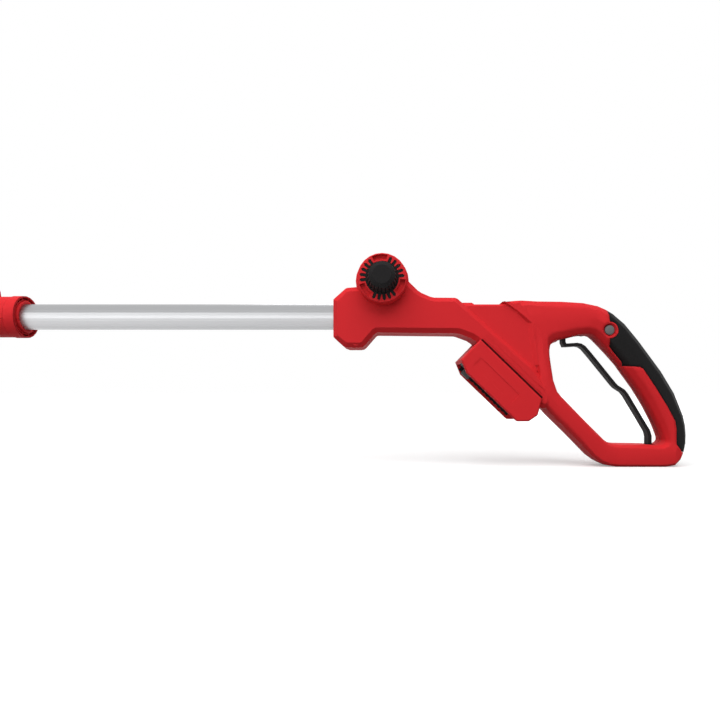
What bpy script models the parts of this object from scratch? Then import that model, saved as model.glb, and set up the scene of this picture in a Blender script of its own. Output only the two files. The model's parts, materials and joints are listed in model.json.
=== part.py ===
"""Cordless string trimmer: D handle with bail trigger, telescopic shaft, tilting head and bump-feed spool.

Metres, +Z up. The trimmer lies along X with its head at -X, and stands on the flat foot under the D handle,
whose middle is the origin, and on the guard's skirt. -Y is the operator's left side.
"""

import math

import bmesh
import bpy
from mathutils import Matrix, Vector

# Driving dimensions
GAP = 0.0003
WELD = 0.000001
FLAT_ANGLE = math.radians(1.5)
WALL = 0.0028
TUBE_Z = 0.148
TUBE_RADIUS = 0.0127
TUBE_WALL = 0.0012
BODY_HALF = 0.021
BODY_CHAMFER = 0.0045
PANEL_HALF = 0.016
SHOULDER_HALF = 0.0184
SHOULDER_BACK = 4
SHOULDER_BURIED = 0.0173
HOUSING_FRONT = -0.301

# Auxiliary handle bosses and their lock buttons
BOSS_X = -0.2535
BOSS_RISE = 0.0321
BOSS_RADIUS = 0.0234
BOSS_FACE = 0.036
BOSS_BORE = 0.0159
BOSS_FLARE = 0.0022
SLOT_REACH = 0.0215
SLOT_WIDTH = 0.0031
SLOT_PITCH = math.radians(15)
SLOTS_A_GROUP = 5
SLOT_GROUPS = (math.radians(36), math.radians(156), math.radians(276.5))
SLOT_DEPTH = 0.0105
WINDOW_WIDTH = math.radians(40)
WINDOW_DEPTH = 0.0040
WINDOW_REACH = 0.0221
BUTTON_PROUD = 0.0175
BUTTON_TOP_RADIUS = 0.0118
BUTTON_RIBS = 24
BUTTON_LIP_END = 0.0064
BUTTON_LIP_THICK = 0.0012
BUTTON_LIP = 0.0016
TOOTH_LENGTH = 0.0035
BOSS_TUBE_WALL = 0.003
BOSS_TUBE_END = 0.008

# Trigger, lock-off and switch
TRIGGER_THICK = 0.0032
TRIGGER_WIDTH = 0.011
TRIGGER_PIVOT = (0.0118, 0.0135)
TRIGGER_PIN_RADIUS = 0.0016
TRIGGER_EYE_RADIUS = 0.0042
TRIGGER_SWING = math.radians(5.5)
LOCK_OFF_X = -0.0324
LOCK_OFF_Z = 0.1334
LOCK_OFF_RADIUS = 0.0048
LOCK_OFF_RECESS = 0.0065
GRIP_SKIN = 0.002
PIN_HALF = 0.010
LOCK_OFF_HALF = 0.0168
HOOK_X = -0.0738
HOOK_TOP = 0.1400
SWITCH_Z = 0.1460
SWITCH_HALF = 0.0052
PLUNGER_LENGTH = 0.0022
PLUNGER_ROOT = 0.0010
PLUNGER_RADIUS = 0.0016
PLUNGER_TRAVEL = 0.0015
PLUNGER_CLEARANCE = 0.0005

# Ribs and screw posts inside the housing: x, z and where the post meets its wall in Y
TUBE_RIBS = (-0.284, -0.226, -0.200, -0.172)
RIB_THICK = 0.0025
POST_RADIUS = 0.0036
PILOT_RADIUS = 0.0012
SCREW_HEAD_RADIUS = 0.0031
SCREW_POSTS = (
    (-0.279, 0.1215, 0.0195),
    (-0.128, 0.0980, 0.0190),
    (-0.108, 0.1480, 0.0150),
    (-0.008, 0.1180, 0.0120),
    (0.034, 0.0200, 0.0130),
    (-0.060, 0.0330, 0.0140),
)

# Battery dock
DOCK_ANGLE = math.radians(44)
DOCK_HALF = 0.026
DOCK_WALL = 0.0035
DOCK_LENGTH = 0.0874
DOCK_REACH = 0.0262
DOCK_LAP = 0.006
DOCK_RAIL = 0.0025
DOCK_END = 0.0039
DOCK_RAIL_AT = 0.0125
WEB_THICK = 0.003
TERMINAL_LENGTH = 0.022
BLADES = (-0.0085, 0.0, 0.0085)
STRUT_FACE = (-0.0980, 0.0555)

# Shaft and lower sleeve
TUBE_SHOWN = 0.308
TUBE_IN_HOUSING = 0.135
TUBE_IN_SLEEVE = 0.110
COLLAR_RADIUS = 0.0209
COLLAR_LENGTH = 0.0105
SLEEVE_RADIUS = 0.0203
SLEEVE_WALL = 0.0026
SLEEVE_LENGTH = 0.262
SLEEVE_PARTING_DROP = 0.004
SPIGOT_RADIUS = 0.0158
GUIDE_LENGTH = 0.030
BUSH_LENGTH = 0.020
COLLAR_RIBS = 12
SLEEVE_FLUTES = 3
LEVER_HALF = 0.0065
LEVER_PIN = 0.0015
SHOE_HALF = 0.0045

# Motor head
PIVOT_FROM_SLEEVE = 0.030
MOTOR_FROM_PIVOT = 0.062
BARREL_RADIUS = 0.0155
BARREL_HALF = 0.0125
CHEEK_THICK = 0.0055
PIVOT_BOLT_RADIUS = 0.004
MOTOR_HOUSING_RADIUS = 0.0365
MOTOR_HOUSING_TOP = 0.012
MOTOR_RADIUS = 0.0215
MOTOR_LENGTH = 0.062
SHAFT_RADIUS = 0.003
VENTS = 7
FLANGE_LENGTH = 0.016
PLUG_LENGTH = 0.022
TILT_BUTTON_RADIUS = 0.0055
TILT_BUTTON_TRAVEL = 0.0025
EDGE_WIRE = 0.0016
EDGE_GUIDE_REACH = 0.150
EDGE_GUIDE_DROP = 0.030

# Spool and guard
FLOOR_CLEARANCE = 0.004
SPOOL_RADIUS = 0.046
SPOOL_HEIGHT = 0.050
SPOOL_WALL = 0.0024
KNOB_RADIUS = 0.024
KNOB_TRAVEL = 0.005
EYELET_RADIUS = 0.0042
LINE_RADIUS = 0.0009
GUARD_RADIUS = 0.148
GUARD_HALF_ANGLE = math.radians(62)
GUARD_THICK = 0.003
GUARD_DISC = 0.046
CUTTER_BOW = 0.0004
CAP_HEIGHT = 0.014
CAP_FLOOR = 0.0055
KNOB_LIP = 0.0016
HUB_RADIUS = 0.0090
DRIVE_RADIUS = 0.0060
SPRING_WIRE = 0.0007
SPRING_RADIUS = 0.0070
SPRING_TURNS = 5
SPRING_SIDES = 8

# Places worked out from the driving dimensions
FACE = Matrix.Rotation(math.pi / 2, 4, "X")
BOSS_Z = TUBE_Z + BOSS_RISE
TUBE_END = HOUSING_FRONT + TUBE_IN_HOUSING
HOOK_ARM = Vector((HOOK_X - TRIGGER_PIVOT[0], HOOK_TOP - TRIGGER_PIVOT[1]))
HOOK_REACH = Matrix.Rotation(-TRIGGER_SWING, 2) @ HOOK_ARM
SWITCH_X = TRIGGER_PIVOT[0] + HOOK_REACH.x + TRIGGER_THICK / 2 + PLUNGER_CLEARANCE + PLUNGER_LENGTH
COLLAR_FACE = HOUSING_FRONT - TUBE_SHOWN
TUBE_TIP = COLLAR_FACE - TUBE_IN_SLEEVE
SLEEVE_START = COLLAR_FACE - COLLAR_LENGTH
SLEEVE_END = SLEEVE_START - SLEEVE_LENGTH
LEVER_X = SLEEVE_START - 0.028
LEVER_Z = TUBE_Z + SLEEVE_RADIUS + 0.0055
PIVOT_X = SLEEVE_END - PIVOT_FROM_SLEEVE
MOTOR_X = PIVOT_X - MOTOR_FROM_PIVOT
SPOOL_TOP = FLOOR_CLEARANCE + SPOOL_HEIGHT
GUARD_Z = SPOOL_TOP + 0.004
MOTOR_FLOOR = GUARD_Z + GUARD_THICK + GAP
MOTOR_CEILING = TUBE_Z + MOTOR_HOUSING_TOP
MOTOR_BASE = MOTOR_FLOOR + 0.018
TILT_BUTTON_X = SLEEVE_END - FLANGE_LENGTH / 2 + 0.002
EDGE_GUIDE_Z = MOTOR_FLOOR + 0.006
HUB_END = FLOOR_CLEARANCE + 0.018
OUTLET_Z = FLOOR_CLEARANCE + CAP_HEIGHT + 0.010
REEL_LOW = FLOOR_CLEARANCE + CAP_FLOOR + KNOB_LIP + 2 * GAP
REEL_HIGH = SPOOL_TOP - 0.0095 - KNOB_TRAVEL


def clear_scene():
    for obj in list(bpy.data.objects):
        bpy.data.objects.remove(obj)


def new_collection(name):
    collection = bpy.data.collections.new(name)
    bpy.context.scene.collection.children.link(collection)
    return collection


clear_scene()
PARTS = new_collection("string_trimmer")
CUTTERS = new_collection("cutters")
COLOURS = {
    "red": ((0.55, 0.018, 0.024), 0.38, 0.0),
    "dark_red": ((0.32, 0.008, 0.012), 0.45, 0.0),
    "black": ((0.012, 0.012, 0.013), 0.5, 0.0),
    "rubber": ((0.02, 0.02, 0.021), 0.75, 0.0),
    "grey": ((0.13, 0.13, 0.135), 0.5, 0.0),
    "steel": ((0.55, 0.55, 0.56), 0.3, 1.0),
    "copper": ((0.75, 0.42, 0.22), 0.3, 1.0),
    "aluminium": ((0.62, 0.62, 0.63), 0.28, 1.0),
}


def paint(obj, colour):
    """Gives the object a material of its own."""
    base, roughness, metallic = COLOURS[colour]
    material = bpy.data.materials.new(obj.name)
    material.use_nodes = True
    shader = material.node_tree.nodes["Principled BSDF"]
    shader.inputs["Base Color"].default_value = (*base, 1)
    shader.inputs["Roughness"].default_value = roughness
    shader.inputs["Metallic"].default_value = metallic
    obj.data.materials.clear()
    obj.data.materials.append(material)


def baked(obj, name=None):
    """The object's evaluated mesh in world space, as a plain mesh object that replaces it."""
    bpy.context.view_layer.update()
    evaluated = obj.evaluated_get(bpy.context.evaluated_depsgraph_get())
    mesh = bpy.data.meshes.new_from_object(evaluated)
    mesh.transform(obj.matrix_world)
    body = bmesh.new()
    body.from_mesh(mesh)
    bmesh.ops.remove_doubles(body, verts=body.verts, dist=1e-6)
    bmesh.ops.recalc_face_normals(body, faces=body.faces)
    body.to_mesh(mesh)
    body.free()
    final_name = name or obj.name
    bpy.data.objects.remove(obj)
    solid = bpy.data.objects.new(final_name, mesh)
    CUTTERS.objects.link(solid)
    hide(solid)
    return solid


def hide(obj):
    obj.hide_render = True
    obj.display_type = "WIRE"


def finish(obj, name, colour, origin=None, smooth=True):
    """Makes a baked solid a part: named, coloured, shaded, with its origin on its joint's axis."""
    CUTTERS.objects.unlink(obj)
    PARTS.objects.link(obj)
    obj.hide_render = False
    obj.display_type = "TEXTURED"
    obj.name = name
    merge_flat_faces(obj.data)
    if origin is not None:
        obj.data.transform(Matrix.Translation(-Vector(origin)))
        obj.location = origin
    if smooth:
        obj.data.shade_smooth()
        obj.data.set_sharp_from_angle(angle=math.radians(35))
    paint(obj, colour)
    return obj


def merge_flat_faces(mesh):
    body = bmesh.new()
    body.from_mesh(mesh)
    bmesh.ops.dissolve_limit(body, angle_limit=FLAT_ANGLE, verts=body.verts, edges=body.edges)
    bmesh.ops.triangulate(body, faces=[face for face in body.faces if len(face.verts) > 4])
    body.to_mesh(mesh)
    body.free()


def combine(target, operation, tools):
    """Applies one exact Boolean for each tool to a baked solid, with flat triangles between the steps."""
    for tool in tools:
        modifier = target.modifiers.new(tool.name, "BOOLEAN")
        modifier.operation = operation
        modifier.solver = "EXACT"
        modifier.object = tool
        bpy.context.view_layer.update()
        evaluated = target.evaluated_get(bpy.context.evaluated_depsgraph_get())
        mesh = bpy.data.meshes.new_from_object(evaluated)
        target.modifiers.clear()
        body = bmesh.new()
        body.from_mesh(mesh)
        bmesh.ops.remove_doubles(body, verts=body.verts, dist=WELD)
        bmesh.ops.dissolve_degenerate(body, edges=body.edges, dist=WELD)
        bmesh.ops.triangulate(body, faces=[face for face in body.faces if len(face.verts) > 4])
        body.to_mesh(mesh)
        body.free()
        target.data = mesh
    return target


def cut(target, *tools):
    return combine(target, "DIFFERENCE", tools)


def join(target, *tools):
    return combine(target, "UNION", tools)


def keep(target, tool):
    return combine(target, "INTERSECT", [tool])


def copy_of(obj, name):
    twin = bpy.data.objects.new(name, obj.data.copy())
    CUTTERS.objects.link(twin)
    hide(twin)
    return twin


def box(name, low, high):
    body = bmesh.new()
    bmesh.ops.create_cube(body, size=1)
    size = Vector(high) - Vector(low)
    centre = (Vector(high) + Vector(low)) / 2
    place = Matrix.Translation(centre) @ Matrix.Diagonal((*size, 1))
    bmesh.ops.transform(body, matrix=place, verts=body.verts)
    mesh = bpy.data.meshes.new(name)
    body.to_mesh(mesh)
    body.free()
    obj = bpy.data.objects.new(name, mesh)
    CUTTERS.objects.link(obj)
    hide(obj)
    return obj


def cylinder(name, start, end, radius, end_radius=None, sides=20):
    """A cylinder or a cone from one point to another."""
    start = Vector(start)
    run = Vector(end) - start
    far_radius = radius if end_radius is None else end_radius
    body = bmesh.new()
    bmesh.ops.create_cone(
        body, cap_ends=True, segments=sides, radius1=radius, radius2=far_radius, depth=run.length
    )
    turn = run.to_track_quat("Z", "Y").to_matrix().to_4x4()
    place = Matrix.Translation(start + run / 2) @ turn
    bmesh.ops.transform(body, matrix=place, verts=body.verts)
    mesh = bpy.data.meshes.new(name)
    body.to_mesh(mesh)
    body.free()
    obj = bpy.data.objects.new(name, mesh)
    CUTTERS.objects.link(obj)
    hide(obj)
    return obj


def turned(name, profile, place, steps=24):
    """A Screw of a closed (radius, height) profile, outer side running top to bottom, about place's Z."""
    mesh = bpy.data.meshes.new(name)
    points = [(radius, 0, height) for radius, height in profile]
    pairs = [(i, (i + 1) % len(points)) for i in range(len(points))]
    edges = [(i, k) for i, k in pairs if profile[i][0] > 0 or profile[k][0] > 0]
    mesh.from_pydata(points, edges, [])
    obj = bpy.data.objects.new(name, mesh)
    CUTTERS.objects.link(obj)
    screw = obj.modifiers.new("turn", "SCREW")
    screw.steps = steps
    screw.render_steps = steps
    screw.use_merge_vertices = True
    screw.merge_threshold = 0.00001
    screw.use_normal_calculate = True
    obj.matrix_world = place
    return baked(obj)


def along_y(x, z, y=0.0, toward=-1):
    """The place whose Z axis points along -Y, or +Y, from a point in the side view."""
    return Matrix.Translation((x, y, z)) @ Matrix.Rotation(-toward * math.pi / 2, 4, "X")


def along_x(x, z=TUBE_Z):
    """The place whose Z axis points along +X."""
    return Matrix.Translation((x, 0, z)) @ Matrix.Rotation(math.pi / 2, 4, "Y")


def rounded(corners, step=math.radians(30)):
    """An outline from (x, z, radius) corners, each corner rounded by an arc of its radius."""
    points = []
    count = len(corners)
    for i, (x, z, radius) in enumerate(corners):
        corner = Vector((x, z))
        before = Vector(corners[i - 1][:2]) - corner
        after = Vector(corners[(i + 1) % count][:2]) - corner
        if radius <= 0:
            points.append(tuple(corner))
            continue
        opening = before.angle(after)
        reach = min(radius / math.tan(opening / 2), before.length * 0.49, after.length * 0.49)
        arc_radius = reach * math.tan(opening / 2)
        bisector = (before.normalized() + after.normalized()).normalized()
        centre = corner + bisector * (arc_radius / math.sin(opening / 2))
        start = corner + before.normalized() * reach - centre
        sweep = start.angle_signed(corner + after.normalized() * reach - centre)
        pieces = max(1, round(abs(sweep) / step))
        for k in range(pieces + 1):
            turn = Matrix.Rotation(-sweep * k / pieces, 2)
            points.append(tuple(centre + turn @ start))
    return points


def arc(centre, radius, start, end, pieces):
    """Points along an arc in the side view, from one angle to another."""
    found = []
    for k in range(pieces + 1):
        angle = start + (end - start) * k / pieces
        found.append((centre[0] + radius * math.cos(angle), centre[1] + radius * math.sin(angle)))
    return found


def anticlockwise(points):
    area = sum(a[0] * b[1] - b[0] * a[1] for a, b in zip(points, points[1:] + points[:1]))
    return points if area > 0 else points[::-1]


def prism(name, outline, half, chamfer=0.0, place=FACE):
    """A flat outline of the side view given thickness, with its long edges chamfered inside the outline."""
    curve = bpy.data.curves.new(name, "CURVE")
    curve.dimensions = "2D"
    curve.fill_mode = "BOTH"
    curve.extrude = half - chamfer
    curve.bevel_depth = chamfer
    curve.bevel_resolution = 0
    curve.offset = -chamfer
    spline = curve.splines.new("POLY")
    points = anticlockwise(outline)
    spline.points.add(len(points) - 1)
    for point, (x, z) in zip(spline.points, points):
        point.co = (x, z, 0, 1)
    spline.use_cyclic_u = True
    obj = bpy.data.objects.new(name, curve)
    CUTTERS.objects.link(obj)
    obj.matrix_world = place
    return baked(obj)


# The D handle's ring: outer and inner points of its outline, half width in Y, and squareness of its section
RING = [
    ((-0.104, 0.096), (-0.086, 0.084), 0.0206, 3.4),
    ((-0.107, 0.116), (-0.0883, 0.103), 0.0190, 3.0),
    ((-0.109, 0.134), (-0.089, 0.1135), 0.0186, 3.0),
    ((-0.121, 0.150), (-0.086, 0.1205), 0.0182, 3.0),
    ((-0.131, TUBE_Z + 0.0155), (-0.079, 0.1235), 0.0180, 3.4),
    ((-0.103, TUBE_Z + 0.0157), (-0.070, 0.1255), 0.0175, 3.0),
    ((-0.078, TUBE_Z + 0.0155), (-0.060, 0.128), 0.0175, 2.7),
    ((-0.057, TUBE_Z + 0.0142), (-0.051, 0.1292), 0.0175, 2.6),
    ((-0.042, TUBE_Z + 0.0112), (-0.0455, 0.1275), 0.0175, 2.5),
    ((-0.0268, TUBE_Z + 0.0036), (-0.0385, 0.1208), 0.0175, 2.5),
    ((-0.0147, 0.1415), (-0.030, 0.1115), 0.0175, 2.4),
    ((-0.0007, 0.1249), (-0.0202, 0.1002), 0.0170, 2.3),
    ((0.0219, 0.0942), (-0.0023, 0.0754), 0.0170, 2.3),
    ((0.0349, 0.0724), (0.0078, 0.0587), 0.0170, 2.3),
    ((0.0435, 0.050), (0.0155, 0.0445), 0.0170, 2.4),
    ((0.0456, 0.0313), (0.0218, 0.0312), 0.0170, 2.6),
    ((0.0430, 0.0145), (0.0235, 0.025), 0.0170, 3.0),
    ((0.034, 0.0008), (0.019, 0.0215), 0.0170, 3.6),
    ((0.012, -0.0008), (0.008, 0.0218), 0.0170, 4.0),
    ((-0.015, -0.0008), (-0.012, 0.0222), 0.0170, 4.0),
    ((-0.033, 0.0006), (-0.027, 0.0228), 0.0172, 4.0),
    ((-0.0482, 0.0096), (-0.0365, 0.0268), 0.0176, 4.0),
    ((-0.0680, 0.0303), (-0.0535, 0.0435), 0.0192, 4.0),
    ((-0.0872, 0.0490), (-0.073, 0.0635), 0.0205, 4.0),
    ((-0.102, 0.069), (-0.0825, 0.0735), 0.0210, 4.0),
]
RING_SIDES = 12
RING_TURN = math.radians(28)


def smooth_closed(values):
    """Catmull-Rom curve through closed ring stations, with a middle point only where the outline turns."""
    found = []
    count = len(values)
    for i in range(count):
        a, b, c, d = (values[(i + k) % count] for k in (-1, 0, 1, 2))
        before = Vector(b[:2]) - Vector(a[:2])
        after = Vector(d[:2]) - Vector(c[:2])
        steps = 2 if before.angle(after) > RING_TURN else 1
        for k in range(steps):
            t = k / steps
            weights = (
                (-t + 2 * t**2 - t**3) / 2,
                (2 - 5 * t**2 + 3 * t**3) / 2,
                (t + 4 * t**2 - 3 * t**3) / 2,
                (t**3 - t**2) / 2,
            )
            found.append(tuple(sum(w * v for w, v in zip(weights, point)) for point in zip(a, b, c, d)))
    return found


def ring_section(station, inset, sides):
    """One superellipse section of the D handle between its outer and inner point."""
    outer_x, outer_z, inner_x, inner_z, half, squareness = station
    outer = Vector((outer_x, 0, outer_z))
    inner = Vector((inner_x, 0, inner_z))
    centre = (outer + inner) / 2
    reach = (outer - inner).length / 2 - inset
    across = (outer - inner).normalized()
    points = []
    for k in range(sides):
        angle = 2 * math.pi * k / sides
        cosine, sine = math.cos(angle), math.sin(angle)
        along = math.copysign(abs(cosine) ** (2 / squareness), cosine) * reach
        side = math.copysign(abs(sine) ** (2 / squareness), sine) * (half - inset)
        points.append(centre + across * along + Vector((0, side, 0)))
    return points


def ring_loft(name, inset=0.0, sides=RING_SIDES):
    """The D handle's closed ring, lofted through its sections; inset gives the space inside its wall."""
    flat = [(*outer, *inner, half, squareness) for outer, inner, half, squareness in RING]
    stations = smooth_closed(flat)
    body = bmesh.new()
    loops = []
    for station in stations:
        loops.append([body.verts.new(point) for point in ring_section(station, inset, sides)])
    for loop, following in zip(loops, loops[1:] + loops[:1]):
        for k in range(sides):
            body.faces.new((loop[k], loop[(k + 1) % sides], following[(k + 1) % sides], following[k]))
    bmesh.ops.recalc_face_normals(body, faces=body.faces)
    mesh = bpy.data.meshes.new(name)
    body.to_mesh(mesh)
    body.free()
    obj = bpy.data.objects.new(name, mesh)
    CUTTERS.objects.link(obj)
    hide(obj)
    return obj


def drawn_in(corners, distance):
    """The corners of an outline moved inward, so that each edge lies a distance inside its old line."""
    found = []
    count = len(corners)
    turn = 1 if sum(a[0] * b[1] - b[0] * a[1] for a, b in zip(corners, corners[1:] + corners[:1])) > 0 else -1
    for i, (x, z, _) in enumerate(corners):
        here = Vector((x, z))
        back = (here - Vector(corners[i - 1][:2])).normalized()
        ahead = (Vector(corners[(i + 1) % count][:2]) - here).normalized()
        first = Vector((-back.y, back.x)) * turn
        second = Vector((-ahead.y, ahead.x)) * turn
        found.append(tuple(here + (first + second) / (1 + first.dot(second)) * distance))
    return found


def body_corners():
    """Side outline of the housing's wide front body, from its front face round the boss to the strut."""
    top = TUBE_Z
    front = HOUSING_FRONT
    boss = arc((BOSS_X, BOSS_Z), BOSS_RADIUS + 0.0008, math.radians(192), math.radians(4), 10)
    corners = [
        (front, top - 0.0215, 0.0015),
        (front, top + 0.0150, 0.0015),
        (front + 0.0125, top + 0.0262, 0.003),
    ]
    corners += [(x, z, 0) for x, z in boss]
    corners += [
        (-0.2175, top + 0.0222, 0.012),
        (-0.2050, top + 0.0168, 0.010),
        (-0.1815, top + 0.0166, 0.004),
        (-0.1080, 0.0990, 0.012),
        (-0.0930, 0.0790, 0.010),
        (-0.0880, 0.0620, 0.008),
        (*STRUT_FACE, 0.006),
        (-0.1650, 0.1246, 0.012),
        (-0.1800, top - 0.0178, 0.008),
        (-0.2592, top - 0.0170, 0.003),
        (-0.2722, top - 0.0318, 0.006),
        (-0.2895, top - 0.0318, 0.006),
    ]
    return corners


def panel_corners():
    """Side outline of the sunk panel between the front body and the D ring."""
    top = TUBE_Z
    return [
        (-0.1900, top + 0.0060, 0),
        (-0.1790, top + 0.0106, 0.003),
        (-0.1390, top + 0.0106, 0.006),
        (-0.1200, top + 0.0140, 0.003),
        (-0.0980, 0.1400, 0.003),
        (-0.0960, 0.0900, 0.003),
        (-0.1250, 0.0980, 0),
    ]


def shoulder_outlines():
    """Side outlines of the raised edge where the D ring meets the sunk panel: its crest and its foot."""
    top = TUBE_Z
    crest = [
        (-0.1352, top + 0.0130),
        (-0.1211, 0.1510),
        (-0.1085, 0.1400),
        (-0.1062, 0.1235),
        (-0.1015, 0.0990),
    ]
    slopes = (0.0015, 0.0022, 0.0050, 0.0062, 0.0062)
    foot = [(x - slope, z) for (x, z), slope in zip(crest, slopes)]
    back = [(-0.0940, 0.1030), (-0.0950, 0.1260), (-0.1050, 0.1400), (-0.1150, top + 0.0080)]
    return crest + back, foot + back


def shoulder():
    """The raised edge in both halves, sloping from its crest down into the panel."""
    crest, foot = shoulder_outlines()
    low = PANEL_HALF - 0.0010
    body = bmesh.new()
    loops = []
    count = len(crest)
    rise = [SHOULDER_HALF] * (count - SHOULDER_BACK) + [SHOULDER_BURIED] * SHOULDER_BACK
    flat = [low] * count
    for side, outline, heights in ((-1, crest, rise), (-1, foot, flat), (1, foot, flat), (1, crest, rise)):
        loops.append([body.verts.new((x, side * y, z)) for (x, z), y in zip(outline, heights)])
    for first, second in zip(loops, loops[1:]):
        for k in range(count):
            body.faces.new((first[k], first[(k + 1) % count], second[(k + 1) % count], second[k]))
    ends = [body.faces.new(loops[0]), body.faces.new(loops[-1])]
    bmesh.ops.triangulate(body, faces=ends)
    bmesh.ops.recalc_face_normals(body, faces=body.faces)
    mesh = bpy.data.meshes.new("shoulder")
    body.to_mesh(mesh)
    body.free()
    obj = bpy.data.objects.new("shoulder", mesh)
    CUTTERS.objects.link(obj)
    hide(obj)
    return obj


def boss_profile(radius, face, flare, foot):
    """Half profile of one handle boss, outer side from its face down to the flare on the body's side."""
    points = [(0, face), (radius - 0.0008, face), (radius, face - 0.0008)]
    for k in range(4):
        angle = math.pi / 2 * k / 3
        points.append((radius + flare * (1 - math.cos(angle)), foot + flare * (1 - math.sin(angle))))
    points.append((radius + flare, 0))
    points.append((0, 0))
    return points


def housing_outer():
    """The whole outer form of the housing, both halves in one."""
    body = prism("body", rounded(body_corners()), BODY_HALF, BODY_CHAMFER)
    panel = prism("panel", rounded(panel_corners()), PANEL_HALF, 0.002)
    ring = ring_loft("ring")
    profile = boss_profile(BOSS_RADIUS, BOSS_FACE, BOSS_FLARE, BODY_HALF - 0.001)
    profile[-2] = (BOSS_RADIUS - 0.004, 0.008)
    profile[-1] = (0, 0.008)
    near = turned("near_boss", profile, along_y(BOSS_X, BOSS_Z))
    far = turned("far_boss", profile, along_y(BOSS_X, BOSS_Z, toward=1))
    join(body, panel, ring, shoulder(), near, far)
    ground = box("ground", (-1, -0.1, -0.05), (0.5, 0.1, 0))
    return cut(body, ground)


def housing_space():
    """The hollow inside the housing's wall."""
    body = prism("body_space", drawn_in(body_corners(), BODY_CHAMFER), BODY_HALF - WALL)
    panel = prism("panel_space", drawn_in(panel_corners(), WALL), PANEL_HALF - WALL)
    ring = ring_loft("ring_space", WALL + GRIP_SKIN, 8)
    return join(body, panel, ring)


def slot_angles():
    for middle in SLOT_GROUPS:
        for k in range(SLOTS_A_GROUP):
            yield middle + (k - (SLOTS_A_GROUP - 1) / 2) * SLOT_PITCH


def toothed_outline(radius, reach, half_width):
    """A disc with a round-ended radial tooth at each slot angle, in the plane of a boss face."""
    angles = sorted(angle % (2 * math.pi) for angle in slot_angles())
    root = math.asin(half_width / radius)
    points = []
    for angle, following in zip(angles, angles[1:] + [angles[0] + 2 * math.pi]):
        turn = Matrix.Rotation(angle, 2)
        tip = arc((reach - half_width, 0), half_width, -math.pi / 2, math.pi / 2, 2)
        points += [tuple(turn @ Vector(point)) for point in tip]
        span = following - angle - 2 * root
        pieces = max(1, round(span / math.radians(15)))
        points += arc((0, 0), radius, angle + root, angle + root + span, pieces)
    return points


def boss_prism(name, outline, low, high, side):
    """A flat outline about a boss's axis given thickness between two heights over the parting plane."""
    place = Matrix.Translation((BOSS_X, side * (low + high) / 2, BOSS_Z)) @ FACE
    return prism(name, outline, (high - low) / 2, place=place)


def boss_cutter(side):
    """What a boss loses to its button and the auxiliary handle: bore, tooth slots and three arc windows."""
    start = (BOSS_X, side * 0.002, BOSS_Z)
    end = (BOSS_X, side * (BOSS_FACE + 0.01), BOSS_Z)
    tool = cylinder("bore", start, end, BOSS_BORE, sides=24)
    slots = toothed_outline(BOSS_BORE - 0.0005, SLOT_REACH, SLOT_WIDTH / 2)
    tools = [boss_prism("slots", slots, BOSS_FACE - SLOT_DEPTH, BOSS_FACE + 0.005, side)]
    for k in range(3):
        middle = math.radians(96 + 120 * k)
        outline = arc((0, 0), WINDOW_REACH, middle - WINDOW_WIDTH / 2, middle + WINDOW_WIDTH / 2, 4)
        outline += arc((0, 0), BOSS_BORE + 0.0012, middle + WINDOW_WIDTH / 2, middle - WINDOW_WIDTH / 2, 3)
        tools.append(boss_prism("window", outline, BOSS_FACE - WINDOW_DEPTH, BOSS_FACE + 0.004, side))
    return join(tool, *tools)


def grip_region(spare):
    """The prism that bounds the rubber grip on the D ring; spare grows it for the rubber's recess."""
    outline = [(-0.0313, TUBE_Z + 0.025), (-0.0326, 0.1451)]
    outline += arc((LOCK_OFF_X, LOCK_OFF_Z), 0.0084, math.pi / 2, -math.pi / 2, 8)
    outline += [
        (-0.0318, 0.1242),
        (-0.0311, 0.1180),
        (-0.0288, 0.1148),
        (-0.0186, 0.1027),
        (-0.0172, 0.0990),
        (-0.0030, 0.0976),
        (0.0000, 0.0958),
        (0.0134, 0.0757),
        (0.0235, 0.0590),
        (0.0310, 0.0447),
        (0.0323, 0.0364),
        (0.0324, 0.0222),
        (0.0380, 0.0150),
        (0.0700, 0.0100),
        (0.0700, 0.1000),
        (0.0100, TUBE_Z + 0.025),
    ]
    return prism("grip_region", drawn_in([(x, z, 0) for x, z in outline], -spare), 2 * BODY_HALF)


def grip_recess():
    recess = grip_region(GAP)
    return cut(recess, ring_loft("grip_seat", GRIP_SKIN + GAP))


def half_space(side, gap=GAP / 2):
    """Everything on one side of the parting plane, starting half a gap from it."""
    near, far = side * gap, side * 0.2
    return box("half", (-1.5, min(near, far), -0.5), (0.5, max(near, far), 0.5))


def tube_ribs():
    """Thin walls inside the body that carry the tube, cut to the body's inner form."""
    limit = prism("rib_limit", drawn_in(body_corners(), BODY_CHAMFER - WALL / 3), BODY_HALF - WALL / 2)
    ribs = []
    for x in TUBE_RIBS:
        half = RIB_THICK / 2
        ribs.append(box("rib", (x - half, -BODY_HALF, TUBE_Z - 0.04), (x + half, BODY_HALF, TUBE_Z + 0.04)))
    first = ribs[0]
    join(first, *ribs[1:])
    return keep(first, limit)


def boss_tube(side):
    """The inner sleeve of a boss, which guides its lock button."""
    outside = turned("boss_tube", [
        (BOSS_BORE - 0.001, BODY_HALF),
        (BOSS_BORE + BOSS_TUBE_WALL, BODY_HALF),
        (BOSS_BORE + BOSS_TUBE_WALL, BOSS_TUBE_END),
        (BOSS_BORE - 0.001, BOSS_TUBE_END),
    ], along_y(BOSS_X, BOSS_Z, toward=side))
    return outside


def across(name, x, z, low, high, radius, side, sides=16):
    """A round post or hole along Y on one side of the parting plane."""
    return cylinder(name, (x, side * low, z), (x, side * high, z), radius, sides=sides)


def screw_posts(side):
    return [across("post", x, z, GAP, high, POST_RADIUS, side, 10) for x, z, high in SCREW_POSTS]


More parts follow.
